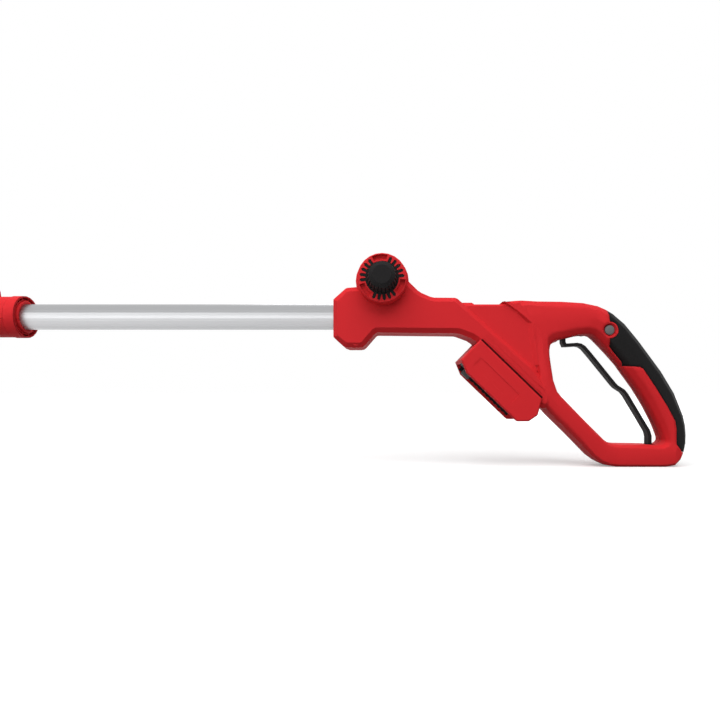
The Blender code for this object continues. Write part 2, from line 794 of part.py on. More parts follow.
def screw_holes(side):
    """Blind pilots in the left half; through holes with counterbores in the right half."""
    holes = []
    for x, z, high in SCREW_POSTS:
        if side < 0:
            holes.append(across("pilot", x, z, -0.001, high - 0.002, PILOT_RADIUS, side, 8))
        else:
            holes.append(across("clearance", x, z, -0.001, BODY_HALF + 0.002, PILOT_RADIUS + GAP, side, 8))
            far = BODY_HALF + 0.002
            holes.append(across("counterbore", x, z, high - 0.002, far, SCREW_HEAD_RADIUS, side, 12))
    return holes


def trigger_slots():
    """The openings that the trigger's two legs pass through."""
    half = TRIGGER_WIDTH / 2 + 0.0006
    x, z = TRIGGER_PIVOT
    reach = TRIGGER_EYE_RADIUS + 0.0008
    lower = box("lower_slot", (x - reach, -half, z - reach), (x + reach, half, z + 0.022))
    upper = box("upper_slot", (-0.0800, -half, 0.1100), (-0.0555, half, 0.1460))
    return [lower, upper]


def housing_half(side, name):
    """One half of the clamshell, from the shared outer form."""
    outer = copy_of(HOUSING_FORM, name)
    cut(outer, HOUSING_SPACE)
    x, z = TRIGGER_PIVOT
    pin_end = PIN_HALF + 0.002
    inner = [tube_ribs(), boss_tube(side), *screw_posts(side)]
    guide_radius = LOCK_OFF_RADIUS + 0.0022
    inner.append(across("lock_off_guide", LOCK_OFF_X, LOCK_OFF_Z, 0.0085, 0.0150, guide_radius, side))
    boss_radius = TRIGGER_PIN_RADIUS + 0.0022
    inner.append(across("pin_boss", x, z, TRIGGER_WIDTH / 2 + 0.0009, 0.0140, boss_radius, side))
    seat_y = sorted((side * (SWITCH_HALF + GAP), side * 0.0145))
    seat_low = (SWITCH_X + 0.003, seat_y[0], SWITCH_Z - 0.004)
    seat_high = (SWITCH_X + 0.015, seat_y[1], SWITCH_Z + 0.004)
    inner.append(box("switch_seat", seat_low, seat_high))
    join(outer, *inner)
    bore_ends = (HOUSING_FRONT - 0.01, 0, TUBE_Z), (TUBE_END + GAP, 0, TUBE_Z)
    holes = [cylinder("tube_bore", *bore_ends, TUBE_RADIUS + GAP, sides=24)]
    holes.append(boss_cutter(side))
    holes += screw_holes(side)
    holes += trigger_slots()
    holes.append(across("lock_off_bore", LOCK_OFF_X, LOCK_OFF_Z, -0.001, 0.03, LOCK_OFF_RADIUS + GAP, side))
    holes.append(across("lock_off_recess", LOCK_OFF_X, LOCK_OFF_Z, 0.0150, 0.03, LOCK_OFF_RECESS, side))
    holes.append(across("pin_bore", x, z, -0.001, pin_end, TRIGGER_PIN_RADIUS + GAP, side, 16))
    holes.append(grip_recess())
    cut(outer, *holes)
    keep(outer, half_space(side))
    return finish(outer, name, "red")


def grip_half(side, name):
    """One half of the rubber skin round the grip."""
    skin = ring_loft(name)
    keep(skin, grip_region(0.0))
    cut(skin, ring_loft("grip_core", GRIP_SKIN))
    keep(skin, half_space(side))
    return finish(skin, name, "rubber")


def lock_button(side, name):
    """A lock button: retaining lip, barrel, teeth that fill the boss slots, and a splined, domed hub."""
    reach = BOSS_BORE - GAP
    face = BOSS_FACE - GAP
    lip = BUTTON_LIP_END
    barrel = turned(name, [
        (reach - 0.003, face),
        (reach, face),
        (reach, lip + BUTTON_LIP_THICK),
        (reach + BUTTON_LIP, lip + BUTTON_LIP_THICK),
        (reach + BUTTON_LIP, lip),
        (reach - 0.003, lip),
    ], along_y(BOSS_X, BOSS_Z, toward=side), steps=20)
    disc = toothed_outline(reach - 0.0002, SLOT_REACH - GAP, SLOT_WIDTH / 2 - GAP)
    teeth = boss_prism("teeth", disc, face - TOOTH_LENGTH, face - 0.0002, side)
    join(barrel, teeth, splined_hub(side))
    return finish(barrel, name, "black", origin=(BOSS_X, side * BOSS_FACE, BOSS_Z))


def splined_hub(side):
    """The tapering hub: square ribs all round, shrinking toward a plain domed end."""
    start = BOSS_FACE - GAP - 0.0017
    end = BOSS_FACE + BUTTON_PROUD
    rings = [
        (start, BOSS_BORE - 0.0008, 0.0013),
        (start + 0.004, BOSS_BORE - 0.0016, 0.0013),
        (end - 0.004, BUTTON_TOP_RADIUS + 0.0006, 0.0010),
        (end - 0.0032, BUTTON_TOP_RADIUS, 0.0),
        (end - 0.0003, BUTTON_TOP_RADIUS * 0.72, 0.0),
    ]
    body = bmesh.new()
    loops = []
    pitch = 2 * math.pi / BUTTON_RIBS
    for height, radius, depth in rings:
        loop = []
        for k in range(BUTTON_RIBS):
            for part, drop in ((0.0, 0), (0.55, 0), (0.775, depth)):
                angle = pitch * (k + part + 0.15)
                spoke = radius - drop
                point = (BOSS_X + spoke * math.cos(angle), side * height, BOSS_Z + spoke * math.sin(angle))
                loop.append(body.verts.new(point))
        loops.append(loop)
    for loop, following in zip(loops, loops[1:]):
        for k in range(len(loop)):
            around = (k + 1) % len(loop)
            body.faces.new((loop[k], loop[around], following[around], following[k]))
    body.faces.new(loops[0])
    body.faces.new(loops[-1])
    bmesh.ops.recalc_face_normals(body, faces=body.faces)
    mesh = bpy.data.meshes.new("splined_hub")
    body.to_mesh(mesh)
    body.free()
    obj = bpy.data.objects.new("splined_hub", mesh)
    CUTTERS.objects.link(obj)
    hide(obj)
    return obj


def strip(name, midline, thickness, width):
    """A flat bar bent along a line in the side view: each corner of the line is mitred."""
    left, right = [], []
    last = len(midline) - 1
    for i, point in enumerate(midline):
        here = Vector(point)
        back = (here - Vector(midline[i - 1])).normalized() if i else None
        ahead = (Vector(midline[i + 1]) - here).normalized() if i < last else None
        run = (back or ahead) + (ahead or back)
        normal = Vector((-run.y, run.x)).normalized()
        spread = thickness / 2 / max(0.5, normal.dot(Vector((-(back or ahead).y, (back or ahead).x))))
        left.append(tuple(here + normal * spread))
        right.append(tuple(here - normal * spread))
    return prism(name, left + right[::-1], width / 2, 0.0006)


def trigger():
    """The bail trigger: a bent flat bar with a pivot eye below and a hook that meets the switch above."""
    x, z = TRIGGER_PIVOT
    midline = [
        (x - 0.0001, z + 0.002),
        (0.0118, 0.0235),
        (0.0118, 0.0292),
        (0.0104, 0.0344),
        (-0.0110, 0.0702),
        (-0.0142, 0.0742),
        (-0.0207, 0.0783),
        (-0.0232, 0.0808),
        (-0.0470, 0.1102),
        (-0.0532, 0.1174),
        (-0.0566, 0.1196),
        (-0.0603, 0.1204),
        (-0.0692, 0.1198),
        (-0.0722, 0.1197),
        (-0.0735, 0.1225),
        (HOOK_X, HOOK_TOP),
    ]
    bar = strip("trigger", midline, TRIGGER_THICK, TRIGGER_WIDTH)
    eye = cylinder(
        "eye", (x, -TRIGGER_WIDTH / 2, z), (x, TRIGGER_WIDTH / 2, z), TRIGGER_EYE_RADIUS, sides=24
    )
    bore = cylinder("bore", (x, -0.02, z), (x, 0.02, z), TRIGGER_PIN_RADIUS + GAP, sides=16)
    join(bar, eye)
    cut(bar, bore)
    return finish(bar, "trigger", "black", origin=(x, 0, z))


def trigger_pin():
    x, z = TRIGGER_PIVOT
    pin = cylinder("trigger_pin", (x, -PIN_HALF, z), (x, PIN_HALF, z), TRIGGER_PIN_RADIUS, sides=16)
    return finish(pin, "trigger_pin", "steel")


def lock_off_button():
    """The cross bolt of the lock-off, with slightly domed ends."""
    end = LOCK_OFF_HALF
    radius = LOCK_OFF_RADIUS
    bolt = turned("lock_off_button", [
        (0, end),
        (radius * 0.6, end - 0.0002),
        (radius - 0.0004, end - 0.0006),
        (radius, end - 0.0012),
        (radius, -end + 0.0012),
        (radius - 0.0004, -end + 0.0006),
        (radius * 0.6, -end + 0.0002),
        (0, -end),
    ], along_y(LOCK_OFF_X, LOCK_OFF_Z), steps=16)
    waist = box("waist", (-0.1, -0.0035, LOCK_OFF_Z + 0.0022), (0.1, 0.0035, LOCK_OFF_Z + 0.02))
    cut(bolt, waist)
    return finish(bolt, "lock_off_button", "grey", origin=(LOCK_OFF_X, 0, LOCK_OFF_Z))


def switch():
    """The micro switch held between the halves, with its sprung plunger toward the trigger's hook."""
    low = (SWITCH_X, -SWITCH_HALF, SWITCH_Z - 0.005)
    high = (SWITCH_X + 0.018, SWITCH_HALF, SWITCH_Z + 0.005)
    body = box("switch", low, high)
    start = (SWITCH_X - PLUNGER_LENGTH, 0, SWITCH_Z)
    root = (SWITCH_X + PLUNGER_ROOT, 0, SWITCH_Z)
    floor = (SWITCH_X + PLUNGER_ROOT + PLUNGER_TRAVEL + PLUNGER_CLEARANCE, 0, SWITCH_Z)
    cut(body, cylinder("socket", start, floor, PLUNGER_RADIUS + GAP, sides=12))
    finish(body, "switch", "black", smooth=False)
    finish(cylinder("switch_plunger", start, root, PLUNGER_RADIUS, sides=12), "switch_plunger", "red")


def dock_place():
    """The side view's frame turned along the strut: x runs down the strut, z away from it."""
    x, z = STRUT_FACE
    turn = Matrix((
        (math.cos(DOCK_ANGLE), 0, -math.sin(DOCK_ANGLE), x),
        (0, 1, 0, 0),
        (-math.sin(DOCK_ANGLE), 0, -math.cos(DOCK_ANGLE), z),
        (0, 0, 0, 1),
    ))
    return turn


def dock_box(name, low, high):
    """A box in the dock's frame: along the strut, across, and away from the strut."""
    part = box(name, low, high)
    part.data.transform(dock_place())
    part.data.flip_normals()
    return part


def battery_dock():
    """The open channel that the battery slides into: web, two side walls on the strut, end wall, rails."""
    end = -DOCK_END - DOCK_LENGTH
    far = DOCK_REACH
    lap = -DOCK_LAP
    mouth = -DOCK_END
    outline = rounded([
        (end, lap, 0),
        (end, far - 0.0056, 0),
        (end + 0.0125, far, 0),
        (mouth - 0.0082, far, 0.002),
        (mouth, far - 0.0080, 0),
        (mouth + 0.0022, far - 0.0180, 0.002),
        (mouth - 0.0058, lap, 0.001),
    ])
    dock = prism("battery_dock", outline, DOCK_HALF, 0.0012, place=dock_place() @ FACE)
    inside = DOCK_HALF - DOCK_WALL
    web = (GAP, GAP + WEB_THICK)
    channel = dock_box("channel", (end + WEB_THICK, -inside, web[1]), (0.05, inside, 0.05))
    strut_room = dock_box("strut_room", (end - 0.01, -inside, -0.03), (0.05, inside, web[0]))
    cut(dock, channel, strut_room)
    rails = []
    for side in (-1, 1):
        near, out = side * (inside - DOCK_RAIL), side * (inside + 0.001)
        low = (end + WEB_THICK - 0.001, min(near, out), DOCK_RAIL_AT)
        high = (mouth - 0.010, max(near, out), DOCK_RAIL_AT + DOCK_RAIL)
        rails.append(dock_box("rail", low, high))
    join(dock, *rails)
    pad_high = (mouth - 0.024, 0.0005 - DOCK_HALF, 0.0165)
    pad = dock_box("pad", (end + 0.012, -DOCK_HALF - 0.01, 0.006), pad_high)
    cut(dock, pad)
    return finish(dock, "battery_dock", "red")


def terminal_block():
    """The contact block at the closed end of the dock, slotted for its three blades."""
    start = -DOCK_END - DOCK_LENGTH + WEB_THICK + GAP
    floor = GAP + WEB_THICK + GAP
    far = start + TERMINAL_LENGTH
    block = dock_box("terminal_block", (start, -0.0135, floor), (far, 0.0135, floor + 0.0165))
    step = dock_box("step", (far - 0.006, -0.02, floor + 0.0130), (start + 0.05, 0.02, 0.05))
    cut(block, step)
    slots = []
    for y in BLADES:
        low = (start + TERMINAL_LENGTH - 0.0065, y - 0.0016, floor + 0.0030)
        slots.append(dock_box("slot", low, (start + 0.05, y + 0.0016, floor + 0.0110)))
    cut(block, *slots)
    finish(block, "terminal_block", "black", smooth=False)
    for i, y in enumerate(BLADES):
        low = (start + TERMINAL_LENGTH - 0.0065 + GAP, y - 0.0004, floor + 0.0036)
        high = (start + TERMINAL_LENGTH + 0.0050, y + 0.0004, floor + 0.0104)
        blade = dock_box("contact_blade", low, high)
        finish(blade, f"contact_blade_{i + 1}", "copper", smooth=False)


def upper_tube():
    inner = TUBE_RADIUS - TUBE_WALL
    length = TUBE_END - TUBE_TIP
    tube = turned("upper_tube", [
        (inner, length),
        (TUBE_RADIUS, length),
        (TUBE_RADIUS, 0),
        (inner, 0),
    ], along_x(TUBE_TIP), steps=28)
    return finish(tube, "upper_tube", "aluminium")


def guide_bush():
    """The plastic ring on the tube's tip that slides in the sleeve."""
    reach = SLEEVE_RADIUS - SLEEVE_WALL - GAP
    bore = TUBE_RADIUS + GAP
    bush = turned("guide_bush", [
        (bore, BUSH_LENGTH),
        (reach - 0.0008, BUSH_LENGTH),
        (reach, BUSH_LENGTH - 0.0008),
        (reach, 0),
        (bore, 0),
    ], along_x(TUBE_TIP + 0.002), steps=24)
    return finish(bush, "guide_bush", "black")


def collar():
    """The ring that holds the sleeve's two shells, with a ribbed groove in its end face."""
    bore = SPIGOT_RADIUS + GAP
    groove = 0.0070
    floor = COLLAR_LENGTH - groove
    ring = turned("collar", [
        (bore, COLLAR_LENGTH - 0.0010),
        (bore + 0.0012, COLLAR_LENGTH - 0.0010),
        (bore + 0.0012, floor),
        (COLLAR_RADIUS - 0.0016, floor),
        (COLLAR_RADIUS - 0.0016, COLLAR_LENGTH),
        (COLLAR_RADIUS - 0.0004, COLLAR_LENGTH),
        (COLLAR_RADIUS, COLLAR_LENGTH - 0.0004),
        (COLLAR_RADIUS, 0),
        (bore, 0),
    ], along_x(SLEEVE_START))
    ribs = []
    for k in range(COLLAR_RIBS):
        x = SLEEVE_START + COLLAR_LENGTH
        rib_high = (x - 0.0015, 0.0006, COLLAR_RADIUS - 0.0008)
        rib = box("rib", (x - groove - 0.001, -0.0006, bore + 0.0006), rib_high)
        rib.data.transform(Matrix.Rotation(2 * math.pi * (k + 0.5) / COLLAR_RIBS, 4, "X"))
        rib.data.transform(Matrix.Translation((0, 0, TUBE_Z)))
        ribs.append(rib)
    join(ring, *ribs)
    return finish(ring, "collar", "red")


def sleeve_form():
    """Both sleeve shells in one: spigot in the collar, guide bore, then the bush's and yoke's wide bore."""
    length = SLEEVE_LENGTH
    guide = TUBE_RADIUS + GAP
    wide = SLEEVE_RADIUS - SLEEVE_WALL
    spigot_end = length + COLLAR_LENGTH + 0.0010
    form = turned("sleeve", [
        (guide, spigot_end),
        (SPIGOT_RADIUS - 0.0006, spigot_end),
        (SPIGOT_RADIUS, spigot_end - 0.0006),
        (SPIGOT_RADIUS, length - GAP),
        (SLEEVE_RADIUS - 0.0006, length - GAP),
        (SLEEVE_RADIUS, length - 0.0009),
        (SLEEVE_RADIUS, 0.0),
        (wide, 0.0),
        (wide, length - GUIDE_LENGTH),
        (guide, length - GUIDE_LENGTH),
    ], along_x(SLEEVE_END))
    grips = []
    for k in range(SLEEVE_FLUTES):
        x = SLEEVE_END + 0.040 + k * 0.008
        grips.append(turned("flute", [
            (SLEEVE_RADIUS - 0.0006, 0.0016),
            (SLEEVE_RADIUS + 0.002, 0.0016),
            (SLEEVE_RADIUS + 0.002, -0.0016),
            (SLEEVE_RADIUS - 0.0006, -0.0016),
        ], along_x(x)))
    return cut(form, *grips)


def sleeve_shells():
    form = sleeve_form()
    ears = []
    for side in (-1, 1):
        near, far = side * LEVER_HALF, side * (LEVER_HALF + 0.003)
        outline = rounded([
            (LEVER_X - 0.007, TUBE_Z + SLEEVE_RADIUS - 0.003, 0),
            (LEVER_X - 0.005, LEVER_Z + 0.0045, 0.004),
            (LEVER_X + 0.005, LEVER_Z + 0.0045, 0.004),
            (LEVER_X + 0.007, TUBE_Z + SLEEVE_RADIUS - 0.003, 0),
        ])
        place = Matrix.Translation((0, (near + far) / 2, 0)) @ FACE
        ears.append(prism("ear", outline, 0.0015, place=place))
    parting = TUBE_Z - SLEEVE_PARTING_DROP
    start, end = SLEEVE_END - 0.01, COLLAR_FACE + 0.01
    above = box("above", (start, -0.05, parting + GAP / 2), (end, 0.05, TUBE_Z + 0.05))
    below = box("below", (start, -0.05, TUBE_Z - 0.05), (end, 0.05, parting - GAP / 2))
    top = copy_of(form, "sleeve_top")
    join(top, *ears)
    window = box(
        "window",
        (LEVER_X - 0.006, -SHOE_HALF - GAP, TUBE_Z + 0.005),
        (LEVER_X + 0.006, SHOE_HALF + GAP, TUBE_Z + 0.03),
    )
    pin_ends = (LEVER_X, -0.03, LEVER_Z), (LEVER_X, 0.03, LEVER_Z)
    pin_bore = cylinder("pin_bore", *pin_ends, LEVER_PIN + GAP, sides=12)
    cut(top, window, pin_bore)
    keep(top, above)
    finish(top, "sleeve_top", "red")
    keep(form, below)
    finish(form, "sleeve_bottom", "red")


def clamp():
    """The cam lever that locks the tube's length, its pin, and the shoe that it presses on the tube."""
    x, z = LEVER_X, LEVER_Z
    pin_half = LEVER_HALF + 0.0035
    pin = cylinder("lever_pin", (x, -pin_half, z), (x, pin_half, z), LEVER_PIN, sides=12)
    finish(pin, "lever_pin", "steel")
    outline = rounded([
        (x + 0.0035, z - 0.0035, 0.0034),
        (x + 0.0035, z + 0.0036, 0.0034),
        (x - 0.0080, z + 0.0062, 0.004),
        (x - 0.0500, z + 0.0030, 0.004),
        (x - 0.0560, z + 0.0050, 0.001),
        (x - 0.0560, z + 0.0030, 0.001),
        (x - 0.0490, z - 0.0002, 0.003),
        (x - 0.0080, z + 0.0012, 0.002),
        (x - 0.0040, z - 0.0035, 0.002),
    ])
    lever = prism("lock_lever", outline, LEVER_HALF - GAP, 0.0008)
    bore = cylinder("bore", (x, -0.03, z), (x, 0.03, z), LEVER_PIN + GAP, sides=12)
    cut(lever, bore)
    finish(lever, "lock_lever", "black", origin=(x, 0, z))
    shoe_high = (x + 0.0057, SHOE_HALF, z - 0.0035 - GAP)
    shoe = box("clamp_shoe", (x - 0.0057, -SHOE_HALF, TUBE_Z + 0.009), shoe_high)
    seat = cylinder("seat", (x - 0.02, 0, TUBE_Z), (x + 0.02, 0, TUBE_Z), TUBE_RADIUS + GAP, sides=40)
    cut(shoe, seat)
    return finish(shoe, "clamp_shoe", "grey")


def yoke():
    """The fork at the sleeve's lower end: a plug in the sleeve, a flange, and two cheeks round the barrel."""
    plug_radius = SLEEVE_RADIUS - SLEEVE_WALL - GAP
    inner, outer = BARREL_HALF + GAP, BARREL_HALF + GAP + CHEEK_THICK
    flange = SLEEVE_END - GAP
    body = cylinder(
        "yoke", (flange - FLANGE_LENGTH, 0, TUBE_Z), (flange, 0, TUBE_Z), SLEEVE_RADIUS - 0.002, SLEEVE_RADIUS
    )
    plug = cylinder("plug", (flange - 0.004, 0, TUBE_Z), (flange + PLUG_LENGTH, 0, TUBE_Z), plug_radius)
    cheeks = prism("cheeks", rounded([
        (flange - 0.004, TUBE_Z + 0.0150, 0),
        (flange - FLANGE_LENGTH, TUBE_Z + 0.0150, 0.006),
        (PIVOT_X, TUBE_Z + BARREL_RADIUS - 0.001, 0.010),
        (PIVOT_X - BARREL_RADIUS + 0.001, TUBE_Z + BARREL_RADIUS - 0.001, 0.012),
        (PIVOT_X - BARREL_RADIUS + 0.001, TUBE_Z - BARREL_RADIUS + 0.001, 0.012),
        (PIVOT_X, TUBE_Z - BARREL_RADIUS + 0.001, 0.010),
        (flange - FLANGE_LENGTH, TUBE_Z - 0.0150, 0.006),
        (flange - 0.004, TUBE_Z - 0.0150, 0),
    ]), outer, 0.001)
    join(body, plug, cheeks)
    throat = box("throat", (PIVOT_X - 0.05, -inner, TUBE_Z - 0.05), (PIVOT_X, inner, TUBE_Z + 0.05))
    barrel_ends = (PIVOT_X, -inner, TUBE_Z), (PIVOT_X, inner, TUBE_Z)
    barrel_room = cylinder("room", *barrel_ends, BARREL_RADIUS + 0.0006)
    bolt_ends = (PIVOT_X, -0.05, TUBE_Z), (PIVOT_X, 0.05, TUBE_Z)
    bolt_bore = cylinder("bolt_bore", *bolt_ends, PIVOT_BOLT_RADIUS + GAP, sides=16)
    x = TILT_BUTTON_X
    button_ends = (x, 0, TUBE_Z + 0.004), (x, 0, TUBE_Z + 0.03)
    button_bore = cylinder("button_bore", *button_ends, TILT_BUTTON_RADIUS + GAP, sides=24)
    cut(body, throat, barrel_room, bolt_bore, button_bore)
    return finish(body, "yoke", "black")


def pivot_bolt():
    """The head's pivot: a shank through cheeks and barrel with a wide low head at each end."""
    outer = BARREL_HALF + GAP + CHEEK_THICK + GAP
    bolt = turned("pivot_bolt", [
        (0, outer + 0.0022),
        (0.0050, outer + 0.0022),
        (0.0070, outer + 0.0012),
        (0.0070, outer),
        (PIVOT_BOLT_RADIUS, outer),
        (PIVOT_BOLT_RADIUS, -outer),
        (0.0070, -outer),
        (0.0070, -outer - 0.0012),
        (0.0050, -outer - 0.0022),
        (0, -outer - 0.0022),
    ], along_y(PIVOT_X, TUBE_Z), steps=16)
    return finish(bolt, "pivot_bolt", "steel")


def tilt_button():
    """The release button in the flange, which frees the head's tilt."""
    x = TILT_BUTTON_X
    low = TUBE_Z + 0.004 + TILT_BUTTON_TRAVEL + GAP
    top = TUBE_Z + SLEEVE_RADIUS + TILT_BUTTON_TRAVEL + 0.0006
    button = turned("tilt_button", [
        (0, top - low),
        (TILT_BUTTON_RADIUS - 0.0010, top - low),
        (TILT_BUTTON_RADIUS, top - low - 0.0010),
        (TILT_BUTTON_RADIUS, 0),
        (0, 0),
    ], Matrix.Translation((x, 0, low)), steps=24)
    return finish(button, "tilt_button", "red", origin=(x, 0, low))


def motor_profile(inset):
    """Half profile of the motor housing from its domed top down to its wide floor."""
    radius = MOTOR_HOUSING_RADIUS - inset
    top = MOTOR_CEILING - inset
    floor = MOTOR_FLOOR + inset
    dome = 0.016
    points = [(0, top)]
    for k in range(1, 4):
        angle = math.pi / 2 * k / 3
        points.append((radius - dome + dome * math.sin(angle), top - dome + dome * math.cos(angle)))
    points += [
        (radius, MOTOR_FLOOR + 0.030),
        (radius + 0.0030, MOTOR_FLOOR + 0.016),
        (radius + 0.0065, MOTOR_FLOOR + 0.010),
        (radius + 0.0065, floor),
        (0, floor),
    ]
    return points


def motor_housing():
    """The two shells round the motor: neck to the pivot barrel, cooling slots, ears for the edge guide."""
    place = Matrix.Translation((MOTOR_X, 0, 0))
    form = turned("motor_form", motor_profile(0.0), place)
    neck = prism("neck", rounded([
        (MOTOR_X + 0.015, TUBE_Z + 0.0085, 0),
        (PIVOT_X - 0.006, TUBE_Z + 0.0105, 0.004),
        (PIVOT_X + 0.002, TUBE_Z + 0.0020, 0.003),
        (PIVOT_X + 0.002, TUBE_Z - 0.0060, 0.003),
        (PIVOT_X - 0.014, TUBE_Z - 0.0170, 0.010),
        (MOTOR_X + 0.030, TUBE_Z - 0.0420, 0.008),
        (MOTOR_X + 0.015, TUBE_Z - 0.0460, 0),
    ]), BARREL_HALF - 0.0005, 0.002)
    barrel_ends = (PIVOT_X, -BARREL_HALF, TUBE_Z), (PIVOT_X, BARREL_HALF, TUBE_Z)
    barrel = cylinder("barrel", *barrel_ends, BARREL_RADIUS)
    ears = []
    for side in (-1, 1):
        low, high = side * (MOTOR_HOUSING_RADIUS + 0.003), side * (MOTOR_HOUSING_RADIUS + 0.0125)
        ear_ends = (MOTOR_X, low, EDGE_GUIDE_Z), (MOTOR_X, high, EDGE_GUIDE_Z)
        ears.append(cylinder("ear", *ear_ends, 0.0042, sides=20))
    join(form, neck, barrel, *ears)
    space = turned("motor_space", motor_profile(WALL), place, steps=16)
    cut(form, space)
    shelf = ring_shelf()
    join(form, shelf)
    shaft_ends = (MOTOR_X, 0, 0), (MOTOR_X, 0, MOTOR_BASE + 0.001)
    shaft_bore = cylinder("shaft_bore", *shaft_ends, SHAFT_RADIUS + 0.0015, sides=20)
    bolt_ends = (PIVOT_X, -0.05, TUBE_Z), (PIVOT_X, 0.05, TUBE_Z)
    bolt_bore = cylinder("bolt_bore", *bolt_ends, PIVOT_BOLT_RADIUS + GAP, sides=16)
    tools = [shaft_bore, bolt_bore]
    for side in (-1, 1):
        low = side * (MOTOR_HOUSING_RADIUS + 0.0065)
        tools.append(cylinder(
            "guide_bore",
            (MOTOR_X, low, EDGE_GUIDE_Z),
            (MOTOR_X, side * 0.06, EDGE_GUIDE_Z),
            EDGE_WIRE + GAP,
            sides=12,
        ))
    for k in range(VENTS):
        angle = math.radians(100) + math.radians(160) * k / (VENTS - 1)
        vent = box("vent", (0.025, -0.0012, MOTOR_CEILING - 0.052), (0.05, 0.0012, MOTOR_CEILING - 0.020))
        vent.data.transform(Matrix.Rotation(angle, 4, "Z"))
        vent.data.transform(place)
        tools.append(vent)
    cut(form, *tools)
    for side, name in ((-1, "motor_housing_left"), (1, "motor_housing_right")):
        half = copy_of(form, name)
        keep(half, half_space(side))
        finish(half, name, "red")


def ring_shelf():
    """The shelf inside the housing that the motor stands on."""
    return turned("shelf", [
        (MOTOR_RADIUS - 0.006, MOTOR_BASE - GAP),
        (MOTOR_HOUSING_RADIUS + WALL / 2, MOTOR_BASE - GAP),
        (MOTOR_HOUSING_RADIUS + WALL / 2, MOTOR_BASE - 0.003),
        (MOTOR_RADIUS - 0.006, MOTOR_BASE - 0.003),
    ], Matrix.Translation((MOTOR_X, 0, 0)), steps=20)


def motor():
    """The motor's can, with its shaft bearing boss below."""
    can = turned("motor_can", [
        (0, MOTOR_LENGTH),
        (0.0070, MOTOR_LENGTH),
        (0.0070, MOTOR_LENGTH - 0.003),
        (MOTOR_RADIUS - 0.0015, MOTOR_LENGTH - 0.003),
        (MOTOR_RADIUS, MOTOR_LENGTH - 0.0045),
        (MOTOR_RADIUS, 0),
        (0, 0),
    ], Matrix.Translation((MOTOR_X, 0, MOTOR_BASE)), steps=24)
    boss_ends = (MOTOR_X, 0, MOTOR_BASE + 0.001), (MOTOR_X, 0, MOTOR_BASE - 0.0035)
    boss = cylinder("boss", *boss_ends, 0.0085, sides=24)
    bore = cylinder("bore", (MOTOR_X, 0, 0), (MOTOR_X, 0, MOTOR_BASE + 0.030), SHAFT_RADIUS + GAP, sides=20)
    join(can, boss)
    cut(can, bore)
    return finish(can, "motor_can", "steel")


def motor_shaft():
    """The shaft from inside the motor down into the spool, with a flat-topped drive hex."""
    top = MOTOR_BASE + 0.028
    shaft_low = (MOTOR_X, 0, SPOOL_TOP - 0.020)
    shaft = cylinder("motor_shaft", shaft_low, (MOTOR_X, 0, top), SHAFT_RADIUS, sides=20)
    drive_ends = (MOTOR_X, 0, SPOOL_TOP - 0.0100), (MOTOR_X, 0, SPOOL_TOP - 0.0042)
    drive = cylinder("drive", *drive_ends, DRIVE_RADIUS, sides=6)
    join(shaft, drive)
    return finish(shaft, "motor_shaft", "steel", origin=(MOTOR_X, 0, SPOOL_TOP))


def guard():
    """The debris guard: a disc under the motor, a fan-shaped plate and a skirt down to the ground."""
    outline = arc((MOTOR_X, 0), GUARD_RADIUS, -GUARD_HALF_ANGLE, GUARD_HALF_ANGLE, 20)
    disc_start = GUARD_HALF_ANGLE + 0.35
    outline += arc((MOTOR_X, 0), GUARD_DISC, disc_start, 2 * math.pi - disc_start, 16)
    flat = Matrix.Translation((0, 0, GUARD_Z + GUARD_THICK / 2))
    plate = prism("guard", outline, GUARD_THICK / 2, place=flat)
    outer = arc((MOTOR_X, 0), GUARD_RADIUS, -GUARD_HALF_ANGLE, GUARD_HALF_ANGLE, 20)
    inner = arc((MOTOR_X, 0), GUARD_RADIUS - GUARD_THICK, GUARD_HALF_ANGLE, -GUARD_HALF_ANGLE, 20)
    height = GUARD_Z + GUARD_THICK / 2
    skirt = prism("skirt", outer + inner, height / 2, place=Matrix.Translation((0, 0, height / 2)))
    ribs = []
    for turn in (-0.62, 0.0, 0.62):
        angle = GUARD_HALF_ANGLE * turn
        rib_high = (GUARD_RADIUS - 0.001, 0.0012, GUARD_Z + 0.001)
        rib = box("rib", (SPOOL_RADIUS + 0.014, -0.0012, GUARD_Z - 0.007), rib_high)
        rib.data.transform(Matrix.Rotation(angle, 4, "Z"))
        rib.data.transform(Matrix.Translation((MOTOR_X, 0, 0)))
        ribs.append(rib)
    join(plate, skirt, *ribs)
    bore = cylinder("bore", (MOTOR_X, 0, 0), (MOTOR_X, 0, 0.1), 0.012, sides=24)
    cut(plate, bore)
    return finish(plate, "guard", "black")


def line_cutter():
    """The blade screwed to the skirt's end, which trims the line to length."""
    angle = -GUARD_HALF_ANGLE + 0.045
    low, high = 0.012, 0.034
    seat = GUARD_RADIUS - GUARD_THICK - GAP - CUTTER_BOW
    blade = box("line_cutter", (seat - 0.0157, -0.006, low), (seat, -0.0048, high))
    tab = box("tab", (seat - 0.0014, -0.006, low), (seat, 0.010, high))
    join(blade, tab)
    bevel = box("bevel", (seat - 0.03, -0.02, low - 0.02), (seat - 0.0112, 0.02, low + 0.006))
    cut(blade, bevel)
    blade.data.transform(Matrix.Rotation(angle, 4, "Z"))
    blade.data.transform(Matrix.Translation((MOTOR_X, 0, 0)))
    return finish(blade, "line_cutter", "steel", smooth=False)


